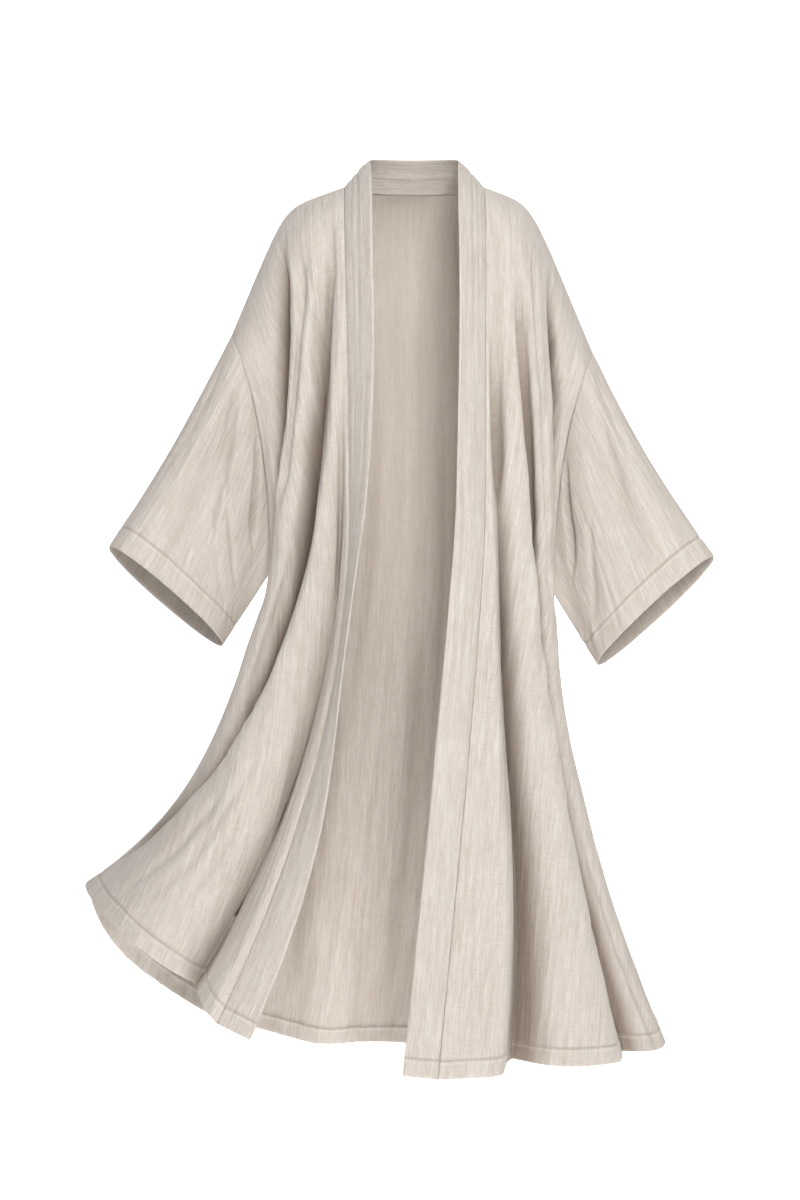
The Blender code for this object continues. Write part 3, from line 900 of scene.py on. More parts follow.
@dataclass(frozen=True)
class GauzeFinish:
    """Matte oatmeal double gauze: slubbed threads, lengthwise crinkle and a faint nap.

    Its colour also carries painted shade in folds, inside the sleeves, along seams and at the hem stitching,
    painted light on the back's inner face and beside the hem stitching, and painted light and shade along
    the crinkle and the streaks.
    """

    # Painted highlight on the crinkle crests.
    pale: Colour = (0.720, 0.675, 0.630)
    # Streak colours: the yarn's own tone, and painted light and shade that follow the streak bump; light also
    # tints the uneven dye.
    light: Colour = (0.655, 0.605, 0.560)
    dark: Colour = (0.535, 0.478, 0.424)
    # Slub threads, and the painted shade in crinkle valleys.
    slub_and_crinkle_shade: Colour = (0.470, 0.398, 0.330)
    # Paler colour of the painted light on the back's inner face and on the hem ridges.
    inside: Colour = (0.800, 0.725, 0.645)
    painted_light_share: float = 0.5
    # Colour of the painted shade in folds, inside the sleeves, along seams and at the hem stitching.
    hollow: Colour = (0.245, 0.190, 0.148)
    painted_shade_share: float = 0.85
    # Painted shade lines along the hem stitching and the drawn seams, and the painted highlight beside the
    # hem stitching.
    line_shade_share: float = 0.42
    ridge_highlight_share: float = 0.20
    line_width: float = 0.0026
    roughness: float = 0.92
    sheen: float = 0.06
    sheen_roughness: float = 0.55
    bump_depth: float = 0.0011
    bump_strength: float = 0.8
    bump_shares: tuple[float, float, float] = (0.45, 0.22, -1.6)
    glow: float = 0.30
    glow_reach: float = 0.0015
    glow_tint: Colour = (1.0, 0.9, 0.8)
    gloss: float = 0.25
    grit: float = 0.7
    ridge_away: float = 1.6
    hem_core: float = 0.15
    seam_core: float = 0.3
    streaks: Mottle = Mottle("lengthwise streaks", 430.0, 20.0, 3.0)
    fine: Mottle = Mottle("fine streaks", 760.0, 60.0, 1.0)
    crosswise: Mottle = Mottle("crosswise threads", 48.0, 520.0, 2.0)
    crinkled: Mottle = Mottle("crinkle lines", 150.0, 9.0, 2.0)
    clouds: Mottle = Mottle("uneven dye", 16.0, 6.0, 3.0)

    def material(self, name: str) -> bpy.types.Material:
        """Makes the cloth material, which reads the piece's UV map in metres and its attributes for painted
        shade and light.

        Args:
            name: Name of the material.

        Returns:
            The material.
        """
        values = {
            "Roughness": self.roughness,
            "Sheen Weight": self.sheen,
            "Sheen Roughness": self.sheen_roughness,
            "Specular IOR Level": self.gloss,
            "Subsurface Weight": self.glow,
            "Subsurface Radius": self.glow_tint,
            "Subsurface Scale": self.glow_reach,
        }
        material, shader = plain_material(name, values)
        tree = material.node_tree
        place = tree.nodes.new("ShaderNodeUVMap")
        place.uv_map = "cloth"

        def noise(mottle: Mottle) -> bpy.types.NodeSocket:
            """Adds a noise stretched along the grain.

            Args:
                mottle: Its repeats and detail.

            Returns:
                Its value.
            """
            mapping = tree.nodes.new("ShaderNodeMapping")
            mapping.inputs["Scale"].default_value = (mottle.across, mottle.along, 1.0)
            texture = tree.nodes.new("ShaderNodeTexNoise")
            texture.label = mottle.label
            texture.noise_dimensions = "2D"
            texture.inputs["Scale"].default_value = 1.0
            texture.inputs["Detail"].default_value = mottle.detail
            texture.inputs["Roughness"].default_value = self.grit
            tree.links.new(place.outputs["UV"], mapping.inputs["Vector"])
            tree.links.new(mapping.outputs["Vector"], texture.inputs["Vector"])
            return texture.outputs["Fac"]

        def attribute(name: str) -> bpy.types.NodeSocket:
            """Reads one of the piece's own attributes."""
            node = tree.nodes.new("ShaderNodeAttribute")
            node.attribute_name = name
            return node.outputs["Fac"]

        def spread(value: bpy.types.NodeSocket, low: float, high: float, top: float) -> bpy.types.NodeSocket:
            """Stretches a value to run from 0 to top.

            Args:
                value: The value.
                low: Where the result is 0.
                high: Where the result is top.
                top: The greatest result.

            Returns:
                The result.
            """
            node = tree.nodes.new("ShaderNodeMapRange")
            node.inputs["From Min"].default_value = low
            node.inputs["From Max"].default_value = high
            node.inputs["To Max"].default_value = top
            tree.links.new(value, node.inputs["Value"])
            return node.outputs["Result"]

        def blended(factor: bpy.types.NodeSocket, first: object, last: object) -> bpy.types.NodeSocket:
            """Mixes two colours.

            Args:
                factor: Share of the last colour.
                first: First colour, a socket or a plain colour.
                last: Last colour, the same.

            Returns:
                The mixed colour.
            """
            node = tree.nodes.new("ShaderNodeMix")
            node.data_type = "RGBA"
            tree.links.new(factor, node.inputs["Factor"])
            for socket, colour in ((node.inputs[6], first), (node.inputs[7], last)):
                if isinstance(colour, tuple):
                    socket.default_value = (*colour, 1.0)
                else:
                    tree.links.new(colour, socket)
            return node.outputs[2]

        def figured(sort: str, values: tuple[object, ...]) -> bpy.types.NodeSocket:
            """Works out a sum on values.

            Args:
                sort: Sort of the sum.
                values: What it is worked on, each a socket or a plain number.

            Returns:
                The result.
            """
            node = tree.nodes.new("ShaderNodeMath")
            node.operation = sort
            for socket, value in zip(node.inputs, values):
                if isinstance(value, float):
                    socket.default_value = value
                else:
                    tree.links.new(value, socket)
            return node.outputs["Value"]

        streaks, fine, crosswise, crinkled, clouds = (
            noise(mottle) for mottle in (self.streaks, self.fine, self.crosswise, self.crinkled, self.clouds)
        )
        # Lengthwise streaks: uneven yarn tone, and painted light and shade that follow the streak bump,
        # lighter where it is higher.
        colour = blended(spread(streaks, 0.32, 0.68, 1.0), self.dark, self.light)
        for value, low, high, top, tint in (
            (fine, 0.50, 0.70, 0.42, self.slub_and_crinkle_shade),
            (crosswise, 0.50, 0.70, 0.42, self.slub_and_crinkle_shade),
            # Crinkle lines: painted shade where the crinkle bump is low and painted highlight where it is
            # high.
            (crinkled, 0.52, 0.72, 0.36, self.slub_and_crinkle_shade),
            (crinkled, 0.44, 0.30, 0.30, self.pale),
            (clouds, 0.35, 0.70, 0.22, self.light),
            # Painted light on the back's inner face, fading out down the back.
            (attribute("inside"), 0.0, 1.0, self.painted_light_share, self.inside),
            # Painted shade in folds, in the shelter of troughs and inside the sleeves.
            (attribute("hollow"), 0.0, 1.0, self.painted_shade_share, self.hollow),
        ):
            colour = blended(spread(value, low, high, top), colour, tint)
        # Painted highlight on the hem's ridge just inside the stitching, and painted shade along the
        # stitching line.
        ridge = (-self.ridge_away * self.line_width, self.ridge_highlight_share, self.inside)
        for middle, top, tint in (ridge, (0.0, self.line_shade_share, self.hollow)):
            away = figured("ABSOLUTE", (figured("SUBTRACT", (attribute("hem"), middle)),))
            line = spread(away, self.line_width, self.hem_core * self.line_width, top)
            colour = blended(line, colour, tint)
        # Painted shade along the drawn seams.
        seam = spread(attribute("seam"), self.line_width, self.seam_core * self.line_width, self.line_shade_share)
        colour = blended(seam, colour, self.hollow)
        tree.links.new(colour, shader.inputs["Base Color"])
        height = streaks
        for value, share in zip((fine, crosswise, crinkled), self.bump_shares):
            height = figured("MULTIPLY_ADD", (value, share, height))
        bump = tree.nodes.new("ShaderNodeBump")
        bump.inputs["Strength"].default_value = self.bump_strength
        bump.inputs["Distance"].default_value = self.bump_depth
        tree.links.new(height, bump.inputs["Height"])
        tree.links.new(bump.outputs["Normal"], shader.inputs["Normal"])
        return material


@dataclass(frozen=True)
class ThreadFinish:
    """Spun sewing thread, a shade lighter than the cloth, with a fine twist."""

    light: Colour = (0.70, 0.645, 0.59)
    dark: Colour = (0.58, 0.52, 0.46)
    roughness: float = 0.8
    twist: float = 900.0

    def material(self, name: str) -> bpy.types.Material:
        """Makes the thread material on object coordinates.

        Args:
            name: Name of the material.

        Returns:
            The material.
        """
        return mottled_material(name, (self.dark, self.light), self.twist, {"Roughness": self.roughness})


STITCH_NODES = {
    "given": "NodeGroupInput",
    "result": "NodeGroupOutput",
    "curve": "GeometryNodeMeshToCurve",
    "steps": "GeometryNodeResampleCurve",
    "tangent": "GeometryNodeInputTangent",
    "facing": "GeometryNodeInputNamedAttribute",
    "turn": "FunctionNodeAxesToRotation",
    "stitch": "GeometryNodeMeshUVSphere",
    "uneven": "FunctionNodeRandomValue",
    "longer": "ShaderNodeMath",
    "scale": "ShaderNodeCombineXYZ",
    "lay": "GeometryNodeInstanceOnPoints",
    "shade": "GeometryNodeSetShadeSmooth",
    "real": "GeometryNodeRealizeInstances",
    "paint": "GeometryNodeSetMaterial",
}
STITCH_CHOICES = (
    ("steps", "mode", "LENGTH"),
    ("facing", "data_type", "FLOAT_VECTOR"),
    ("turn", "primary_axis", "X"),
    ("turn", "secondary_axis", "Z"),
    ("uneven", "data_type", "FLOAT"),
    ("longer", "operation", "MULTIPLY"),
)
STITCH_VALUES = (
    ("facing", "Name", "facing"),
    ("stitch", "Segments", 6),
    ("stitch", "Rings", 4),
    ("stitch", "Radius", 0.5),
    ("uneven", "Min", 0.85),
    ("uneven", "Max", 1.1),
)
STITCH_LINKS = (
    ("given", "Path", "curve", "Mesh"),
    ("curve", "Curve", "steps", "Curve"),
    ("given", "Pitch", "steps", "Length"),
    ("tangent", "Tangent", "turn", "Primary Axis"),
    ("facing", "Attribute", "turn", "Secondary Axis"),
    ("given", "Seed", "uneven", "Seed"),
    ("given", "Length", "longer", 0),
    ("uneven", "Value", "longer", 1),
    ("longer", "Value", "scale", "X"),
    ("given", "Width", "scale", "Y"),
    ("given", "Width", "scale", "Z"),
    ("steps", "Curve", "lay", "Points"),
    ("stitch", "Mesh", "shade", "Geometry"),
    ("shade", "Geometry", "lay", "Instance"),
    ("turn", "Rotation", "lay", "Rotation"),
    ("scale", "Vector", "lay", "Scale"),
    ("lay", "Instances", "real", "Geometry"),
    ("real", "Geometry", "paint", "Geometry"),
    ("paint", "Geometry", "result", "Stitches"),
)


@dataclass(frozen=True)
class Stitching:
    """Rows of machine stitches along lines on the cloth, made by one node tree."""

    pitch: float = 0.0040
    length: float = 0.0029
    width: float = 0.0007
    seed: int = 4

    def tree(self, material: bpy.types.Material) -> bpy.types.NodeTree:
        """Builds the node tree that lays one stitch at each step of a path.

        Args:
            material: Finish of the thread.

        Returns:
            The node tree.
        """
        tree = bpy.data.node_groups.new("stitch_rows", "GeometryNodeTree")
        face = tree.interface
        face.new_socket(name="Path", in_out="INPUT", socket_type="NodeSocketGeometry")
        for size in ("Pitch", "Length", "Width"):
            face.new_socket(name=size, in_out="INPUT", socket_type="NodeSocketFloat")
        face.new_socket(name="Seed", in_out="INPUT", socket_type="NodeSocketInt")
        face.new_socket(name="Stitches", in_out="OUTPUT", socket_type="NodeSocketGeometry")
        nodes = {label: tree.nodes.new(sort) for label, sort in STITCH_NODES.items()}
        for label, choice, value in STITCH_CHOICES:
            setattr(nodes[label], choice, value)
        for label, socket, value in STITCH_VALUES:
            nodes[label].inputs[socket].default_value = value
        nodes["paint"].inputs["Material"].default_value = material
        for first, output, last, socket in STITCH_LINKS:
            tree.links.new(nodes[first].outputs[output], nodes[last].inputs[socket])
        return tree

    def sew(self, name: str, lines: list[tuple[Array, Array]], tree: bpy.types.NodeTree) -> bpy.types.Object:
        """Lays stitches along lines and gives them as one plain mesh.

        Args:
            name: Name of the piece.
            lines: Points and outward directions of each line.
            tree: The node tree.

        Returns:
            The stitches.
        """
        points = np.concatenate([line[0] for line in lines])
        facing = np.concatenate([line[1] for line in lines])
        edges, start = [], 0
        for line, _ in lines:
            edges += [(start + step, start + step + 1) for step in range(len(line) - 1)]
            start += len(line)
        mesh = bpy.data.meshes.new(f"{name}_path")
        mesh.from_pydata(points.tolist(), edges, [])
        held = mesh.attributes.new("facing", "FLOAT_VECTOR", "POINT")
        held.data.foreach_set("vector", facing.astype(np.float32).ravel())
        path = placed(f"{name}_path", mesh)
        modifier = path.modifiers.new("stitches", "NODES")
        modifier.node_group = tree
        sizes = {"Pitch": self.pitch, "Length": self.length, "Width": self.width, "Seed": self.seed}
        for socket in tree.interface.items_tree:
            if socket.in_out == "INPUT" and socket.name in sizes:
                modifier[socket.identifier] = sizes[socket.name]
        graph = bpy.context.evaluated_depsgraph_get()
        made = bpy.data.meshes.new_from_object(path.evaluated_get(graph))
        made.name = name
        piece = placed(name, made)
        bpy.data.objects.remove(path, do_unlink=True)
        bpy.data.meshes.remove(mesh)
        return piece


@dataclass(frozen=True)
class Sewing:
    """Sizes of the seams, hems and stitches, which are the same on every piece."""

    hem_wall: float = 0.0024
    turn_start: float = 0.0005
    turn_end: float = 0.0030
    edge_turn: float = 0.32
    seam_width: float = 0.006
    seam_rise: float = 0.0002
    seam_reach: float = 0.00012
    seam_calm: float = 4.0
    seam_pucker: float = 0.4
    seam_pucker_size: float = 0.011
    seam_pucker_reach: float = 0.012
    stitch_groove: float = 0.0010
    groove_width: float = 0.0022
    pucker: float = 0.0018
    pucker_size: tuple[float, float] = (0.018, 0.05)
    pucker_reach: float = 0.016
    hem_waver: float = 0.0009
    waver_size: tuple[float, float] = (0.05, 0.2)
    thread_lift: float = 0.0001


@dataclass
class ClothPiece:
    """One cut piece of cloth: its form, creases, edges and finish.

    Attributes:
        name: Name of the piece.
        node: The part's solid that it stands for.
        surface: Its outer face.
        cut: Its flat cut; not used.
        edges: Finish of its first column, last column, first row and last row.
        creases: Its creases.
        crinkle: Its crinkle.
        crinkle_from: Falls between which the crinkle grows in.
        crinkle_size: Share of the crinkle's full height.
        shift: Seed of the piece.
        sewing: Its seams and hems.
        wall: Thickness of the cloth.
        hem_depth: Depth of the turned-up hem.
        painted_shade_width: Width of the folds whose depth sets the painted shade.
        painted_shade_depth: Depth at which the painted shade in a fold is darkest.
        painted_light_falls: Falls between which the painted light on its inner face fades out.
        painted_light_inside: How much painted light brightens its inner face near the top.
        painted_shade_inside: How much painted shade darkens its inner face all over.
        straight_grain: Whether its threads keep level with the column at share 0, and not with every column.
        thread_start: Shift of the threads' pattern for each step of the piece's seed.
        seam_veil: Length by which a drawn seam is softened.
        veil_shares: Distances from the middle share between which the veil grows.
        veil_growth: How much the veil grows, which hides the seam under the arm.
        drawn_seams: Its edges whose seam shows as a line of painted shade, numbered as in edges.
    """

    name: str
    node: str
    surface: Surface
    cut: Cut
    edges: tuple[Edge, Edge, Edge, Edge]
    creases: tuple[Crease, ...]
    crinkle: Crinkle
    crinkle_from: tuple[float, float]
    crinkle_size: float
    shift: int
    sewing: Sewing = Sewing()
    wall: float = 0.0011
    hem_depth: float = 0.024
    painted_shade_width: float = 0.016
    painted_shade_depth: float = 0.020
    painted_light_falls: tuple[float, float] = (0.35, 0.80)
    painted_light_inside: float = 0.0
    painted_shade_inside: float = 0.0
    straight_grain: bool = False
    thread_start: tuple[float, float] = (0.9, 0.7)
    seam_veil: float = 0.0
    veil_shares: tuple[float, float] = (0.06, 0.22)
    veil_growth: float = 4.0
    drawn_seams: tuple[int, ...] = ()

    def grain(self) -> tuple[Array, Array]:
        """Gives each point's place on the threads, which run down the grid's columns.

        Returns:
            Lengths across and along the threads.
        """
        across, along = self.surface.across(), self.surface.along()
        if not self.straight_grain:
            return np.broadcast_to(across.mean(axis=0, keepdims=True), along.shape), along
        middle = int(np.argmin(np.abs(self.surface.share).mean(axis=0)))
        return across - across[:, middle : middle + 1], along

    def edge_lengths(self) -> tuple[Array, Array, Array, Array]:
        """Gives the length from each point to the first column, last column, first row and last row."""
        across, along = self.surface.across(), self.surface.along()
        return across, across[:, -1:] - across, along, along[-1:] - along

    def relief(self) -> Array:
        """Gives the height of the piece's creases, crinkle, seams and hem above its smooth form.

        Returns:
            Heights, below 0 where the cloth goes in.
        """
        surface, sewing = self.surface, self.sewing
        across, along = surface.across(), surface.along()
        height = np.zeros_like(across)
        for crease in self.creases:
            height += crease.press(surface, across)
        grown = smooth(self.crinkle_from[0], self.crinkle_from[1], surface.fall)[:, None]
        height += self.crinkle_size * grown * self.crinkle.heights(*self.grain(), self.shift)
        for edge, length in zip(self.edges, self.edge_lengths()):
            if edge is Edge.SEAM:
                size = sewing.seam_pucker_size
                waves = ripple(across / size, along / size, SEAM_SEED + self.shift)
                drawn = sewing.seam_pucker * sewing.pucker * waves
                near = np.exp(-((length / sewing.seam_pucker_reach) ** 2))
                height = (height + drawn * near) * smooth(0.0, sewing.seam_calm * sewing.seam_width, length)
                height += sewing.seam_rise * smooth(0.0, sewing.seam_width, length)
            elif edge is Edge.HEM:
                line = length - self.hem_depth
                height -= sewing.stitch_groove * np.exp(-((line / sewing.groove_width) ** 2))
                wide, long = sewing.pucker_size
                waves = ripple(across / wide, line / long, HEM_SEED + self.shift)
                height += sewing.pucker * waves * np.exp(-((line / sewing.pucker_reach) ** 2))
        return height

    def thickness(self) -> Array:
        """Gives the thickness of the wall, greater where a hem is turned up.

        Returns:
            Thickness at each point.
        """
        wall = np.full(self.surface.points.shape[:2], self.wall)
        for edge, length in zip(self.edges, self.edge_lengths()):
            if edge is Edge.HEM:
                start, end = self.hem_depth + self.sewing.turn_start, self.hem_depth + self.sewing.turn_end
                turned = 1.0 - smooth(start, end, length)
                wall = wall + (self.sewing.hem_wall - self.wall) * turned
        return wall

    def dressed(self) -> Surface:
        """Gives the outer face with its relief."""
        return self.surface.raised(self.relief())

    def hollows(self, face: Surface) -> Array:
        """Gives how deep each point lies in a fold of the dressed face, which sets the painted shade there.

        Args:
            face: The dressed face.

        Returns:
            Depths as shares of the painted shade depth, above 0 in troughs and below 0 on ridges.
        """
        spacing = face.across()[:, -1].mean() / (face.points.shape[1] - 1)
        passes = round(2.0 * (self.painted_shade_width / spacing) ** 2)
        even = np.swapaxes(softened(np.swapaxes(face.points, 0, 1), passes), 0, 1)
        return np.sum((even - face.points) * face.facing(), axis=2) / self.painted_shade_depth

    def from_hem(self) -> Array:
        """Gives the length from each point to the line where a hem is sewn down, which places the painted
        shade and highlight there.

        Returns:
            Lengths, below 0 inside the hem.
        """
        nearest = np.full(self.surface.points.shape[:2], FAR)
        for edge, length in zip(self.edges, self.edge_lengths()):
            if edge is Edge.HEM:
                wide, long = self.sewing.waver_size
                waver = ripple(self.surface.across() / wide, length / long, WAVER_SEED + self.shift)
                nearest = np.minimum(nearest, length - self.hem_depth + self.sewing.hem_waver * waver)
        return nearest

    def from_seam(self) -> Array:
        """Gives the length from each point to the nearest seam that shows as a line of painted shade.

        Returns:
            Lengths, with the veil added.
        """
        lengths = self.edge_lengths()
        nearest = np.full(self.surface.points.shape[:2], FAR)
        for edge in self.drawn_seams:
            nearest = np.minimum(nearest, lengths[edge])
        aside = smooth(*self.veil_shares, np.abs(self.surface.share - 0.5))
        return nearest + self.seam_veil * (1.0 + self.veil_growth * aside)

    def stitch_line(self, edge: int, depth: float) -> tuple[Array, Array]:
        """Gives a line on the dressed face at a depth in from one edge.

        Args:
            edge: 0 for the first column, 1 for the last column, 2 for the first row, 3 for the last row.
            depth: Distance in from the edge.

        Returns:
            Points of the line and their outward directions.
        """
        face = self.dressed()
        facing = face.facing()
        length = self.edge_lengths()[edge]
        points = face.points
        if edge in (0, 1):
            points, facing, length = (np.swapaxes(a, 0, 1) for a in (points, facing, length))
        if edge in (1, 3):
            points, facing, length = points[::-1], facing[::-1], length[::-1]
        line, normal = [], []
        for column in range(points.shape[1]):
            row = int(np.clip(np.searchsorted(length[:, column], depth), 1, len(length) - 1))
            span = max(length[row, column] - length[row - 1, column], TINY)
            part = (depth - length[row - 1, column]) / span
            line.append(mix(points[row - 1, column], points[row, column], part))
            normal.append(mix(facing[row - 1, column], facing[row, column], part))
        outward = unit(np.array(normal))
        return np.array(line) + self.sewing.thread_lift * outward, outward

    def build(self, material: bpy.types.Material) -> bpy.types.Object:
        """Builds the piece as a closed thin wall with a UV map in metres.

        Args:
            material: Its finish.

        Returns:
            The piece.
        """
        face = self.dressed()
        facing = face.facing()
        wall = self.thickness()[..., None]
        outer, inner = face.points.copy(), face.points - facing * wall
        for axis, ends in ((1, (0, -1)), (0, (0, -1))):
            for slot, end in enumerate(ends):
                kind = self.edges[slot if axis == 1 else 2 + slot]
                select = (slice(None), end) if axis == 1 else end
                if kind is Edge.SEAM:
                    beside = 1 if end == 0 else -2
                    near = (slice(None), beside) if axis == 1 else beside
                    drawn = self.sewing.seam_reach * unit(outer[select] - outer[near])
                    outer[select] += drawn
                    inner[select] += drawn
                    continue
                turn = self.sewing.edge_turn * (outer[select] - inner[select])
                outer[select] -= turn
                inner[select] += turn
        rows, columns = outer.shape[:2]
        number = np.arange(rows * columns).reshape(rows, columns)
        corners = (number[:-1, :-1], number[:-1, 1:], number[1:, 1:], number[1:, :-1])
        quads = np.stack(corners, axis=-1).reshape(-1, 4)
        if face.outward < 0.0:
            quads = quads[:, ::-1]
        shift = rows * columns
        rim = np.concatenate([number[0, :-1], number[:-1, -1], number[-1, :0:-1], number[:0:-1, 0]])
        after = np.roll(rim, -1)
        walls = np.stack([rim, rim + shift, after + shift, after], axis=-1)
        if face.outward < 0.0:
            walls = walls[:, ::-1]
        faces = np.concatenate([quads, quads[:, ::-1] + shift, walls])
        mesh = bpy.data.meshes.new(self.name)
        points = np.concatenate([outer.reshape(-1, 3), inner.reshape(-1, 3)])
        mesh.from_pydata(points.tolist(), [], faces.tolist())
        soft = [np.ones(2 * len(quads), bool)]
        for edge, count in ((2, columns), (1, rows), (3, columns), (0, rows)):
            soft.append(np.full(count - 1, self.edges[edge] is not Edge.SEAM))
        mesh.polygons.foreach_set("use_smooth", np.concatenate(soft))
        starts = (start * self.shift for start in self.thread_start)
        threads = [length + start for length, start in zip(self.grain(), starts)]
        place = np.stack(threads, axis=-1).reshape(-1, 2)
        loops = np.zeros(len(mesh.loops), np.int32)
        mesh.loops.foreach_get("vertex_index", loops)
        layer = mesh.uv_layers.new(name="cloth")
        layer.data.foreach_set("uv", place[loops % shift].astype(np.float32).ravel())
        # Depth of each point in the folds, which sets the painted shade.
        sunk = self.hollows(face)
        # Painted light on the inner face, full near the top and gone below the lower fall.
        pale = np.broadcast_to(1.0 - smooth(*self.painted_light_falls, face.fall)[:, None], sunk.shape)
        hem, seam = self.from_hem(), self.from_seam()
        # Painted shade: fold depth and trough shelter on the outer face; ridges seen from inside and the
        # sleeves' shade on the inner face.
        hollow = (sunk + self.surface.shade, self.painted_shade_inside - sunk)
        values = {
            "hollow": tuple(np.clip(depth, 0.0, 1.0) for depth in hollow),
            "inside": (np.zeros_like(sunk), self.painted_light_inside * pale),
            "hem": (hem, hem),
            "seam": (seam, seam),
        }
        for label, sides in values.items():
            layer = mesh.attributes.new(label, "FLOAT", "POINT")
            flat = np.concatenate([side.ravel() for side in sides])
            layer.data.foreach_set("value", flat.astype(np.float32))
        mesh.materials.append(material)
        mesh.validate()
        mesh.update()
        return placed(self.name, mesh)


CREASES_LEFT = (
    Crease(
        "arm_wedge", ((0.06, 0.41), (0.14, 0.42), (0.21, 0.46), (0.28, 0.51), (0.42, 0.70)),
        0.0130, 0.014, lean=0.3,
    ),
    Crease("neck_drag", ((0.04, 0.10), (0.13, 0.12), (0.24, 0.15)), 0.0080, 0.005),
    Crease("chest_near", ((0.05, 0.22), (0.16, 0.25), (0.30, 0.31)), 0.0090, 0.003),
    Crease("chest_far", ((0.05, 0.33), (0.12, 0.34), (0.22, 0.38)), 0.0090, 0.003),
    Crease("seam_line", ((0.30, 0.05), (0.45, 0.06), (0.62, 0.06)), 0.0050, 0.006),
    Crease("hip_dip", ((0.48, 0.55), (0.60, 0.60), (0.78, 0.70)), 0.0120, 0.006),
    Crease("billow_high", ((0.80, 0.24), (0.95, 0.29), (1.14, 0.36)), 0.0080, 0.004),
    Crease("billow_mid", ((0.84, 0.33), (1.00, 0.41), (1.16, 0.48)), 0.0070, 0.003),
    Crease("billow_low", ((0.92, 0.46), (1.06, 0.55), (1.17, 0.62)), 0.0090, 0.004),
)
CREASES_RIGHT = (
    Crease("neck_drag", ((0.03, 0.05), (0.10, 0.09), (0.20, 0.11)), 0.0060, 0.005),
    Crease("recess_edge", ((0.14, 0.075), (0.28, 0.085), (0.46, 0.12)), 0.0130, 0.009),
    Crease("recess_high", ((0.10, 0.34), (0.26, 0.385), (0.38, 0.45), (0.54, 0.57)), 0.0150, 0.010),
    Crease("chest_far", ((0.06, 0.43), (0.15, 0.50), (0.26, 0.58)), 0.0070, 0.005),
    Crease("side_panel", ((0.24, 0.58), (0.36, 0.66), (0.52, 0.80)), 0.0080, 0.007),
    Crease("edge_flute", ((0.55, 0.06), (0.80, 0.09), (1.08, 0.09)), 0.0070, 0.004),
    Crease("skirt_high", ((0.62, 0.44), (0.80, 0.46), (1.02, 0.47)), 0.0080, 0.003),
    Crease("skirt_side", ((0.80, 0.78), (1.00, 0.80), (1.18, 0.82)), 0.0090, 0.006, runs_out=True),
)
CREASES_BACK = (
    Crease("inner_left", ((0.20, -0.15), (0.50, -0.19), (0.78, -0.22)), 0.0080, -0.007),
    Crease("inner_low", ((0.66, -0.25), (0.90, -0.26), (1.16, -0.24)), 0.0120, -0.012),
    Crease("centre_low", ((0.60, 0.05), (0.86, 0.04), (1.16, 0.02)), 0.0100, -0.009),
    Crease("inner_right", ((0.25, 0.11), (0.55, 0.12), (0.90, 0.08)), 0.0080, -0.006),
    Crease("shoulder_left", ((0.06, -0.52), (0.18, -0.60), (0.34, -0.74)), 0.0080, 0.007),
    Crease("shoulder_right", ((0.06, 0.52), (0.17, 0.60), (0.33, 0.74)), 0.0080, 0.007),
    Crease("yoke_left", ((0.08, -0.30), (0.24, -0.33), (0.44, -0.35)), 0.0070, 0.004),
    Crease("yoke_right", ((0.07, 0.31), (0.20, 0.33), (0.38, 0.36)), 0.0070, 0.004),
    Crease("skirt_left", ((0.60, -0.58), (0.85, -0.60), (1.10, -0.61)), 0.0090, 0.006),
    Crease("skirt_right", ((0.66, 0.58), (0.90, 0.58), (1.18, 0.57)), 0.0090, 0.006, runs_out=True),
)
CREASES_BAND = (
    Crease("near_line", ((-0.40, 0.26), (0.20, 0.28), (0.62, 0.30)), 0.0022, 0.0016),
    Crease("middle_line", ((-0.30, 0.52), (0.10, 0.50), (0.34, 0.46)), 0.0026, 0.0018),
    Crease("edge_line", ((0.10, 0.74), (0.50, 0.72), (0.95, 0.70)), 0.0024, 0.0014),
)
CREASES_SLEEVE_LEFT = (
    Crease("front_valley", ((0.02, 0.66), (0.13, 0.71), (0.30, 0.75), (0.74, 0.79)), 0.0130, 0.008),
    Crease("armpit_front", ((-0.05, 0.80), (0.10, 0.86), (0.34, 0.92)), 0.0160, 0.014),
    Crease("drag_high", ((0.34, 0.76), (0.50, 0.84), (0.66, 0.92)), 0.0110, 0.004),
    Crease("drag_low", ((0.50, 0.74), (0.66, 0.82), (0.84, 0.90)), 0.0100, 0.003),
    Crease("top_line", ((0.08, 0.58), (0.32, 0.60), (0.62, 0.62)), 0.0090, 0.003),
    Crease("back_valley", ((0.04, 0.34), (0.24, 0.27), (0.72, 0.22)), 0.0130, 0.008),
    Crease("back_drag", ((0.30, 0.20), (0.50, 0.13), (0.74, 0.08)), 0.0070, 0.004),
)
CREASES_SLEEVE_RIGHT = (
    Crease("front_drag", ((0.04, 0.60), (0.22, 0.62), (0.52, 0.64)), 0.0100, 0.004),
    Crease("front_drag_low", ((0.08, 0.66), (0.28, 0.69), (0.60, 0.72)), 0.0110, 0.004),
    Crease("armpit_front", ((-0.05, 0.82), (0.12, 0.87), (0.40, 0.92)), 0.0160, 0.014),
    Crease("under_drag", ((0.36, 0.82), (0.56, 0.86), (0.80, 0.90)), 0.0120, 0.004),
    Crease("back_valley", ((0.05, 0.36), (0.26, 0.30), (0.70, 0.25)), 0.0130, 0.008),
    Crease("back_drag", ((0.28, 0.22), (0.52, 0.15), (0.78, 0.10)), 0.0070, 0.004),
)


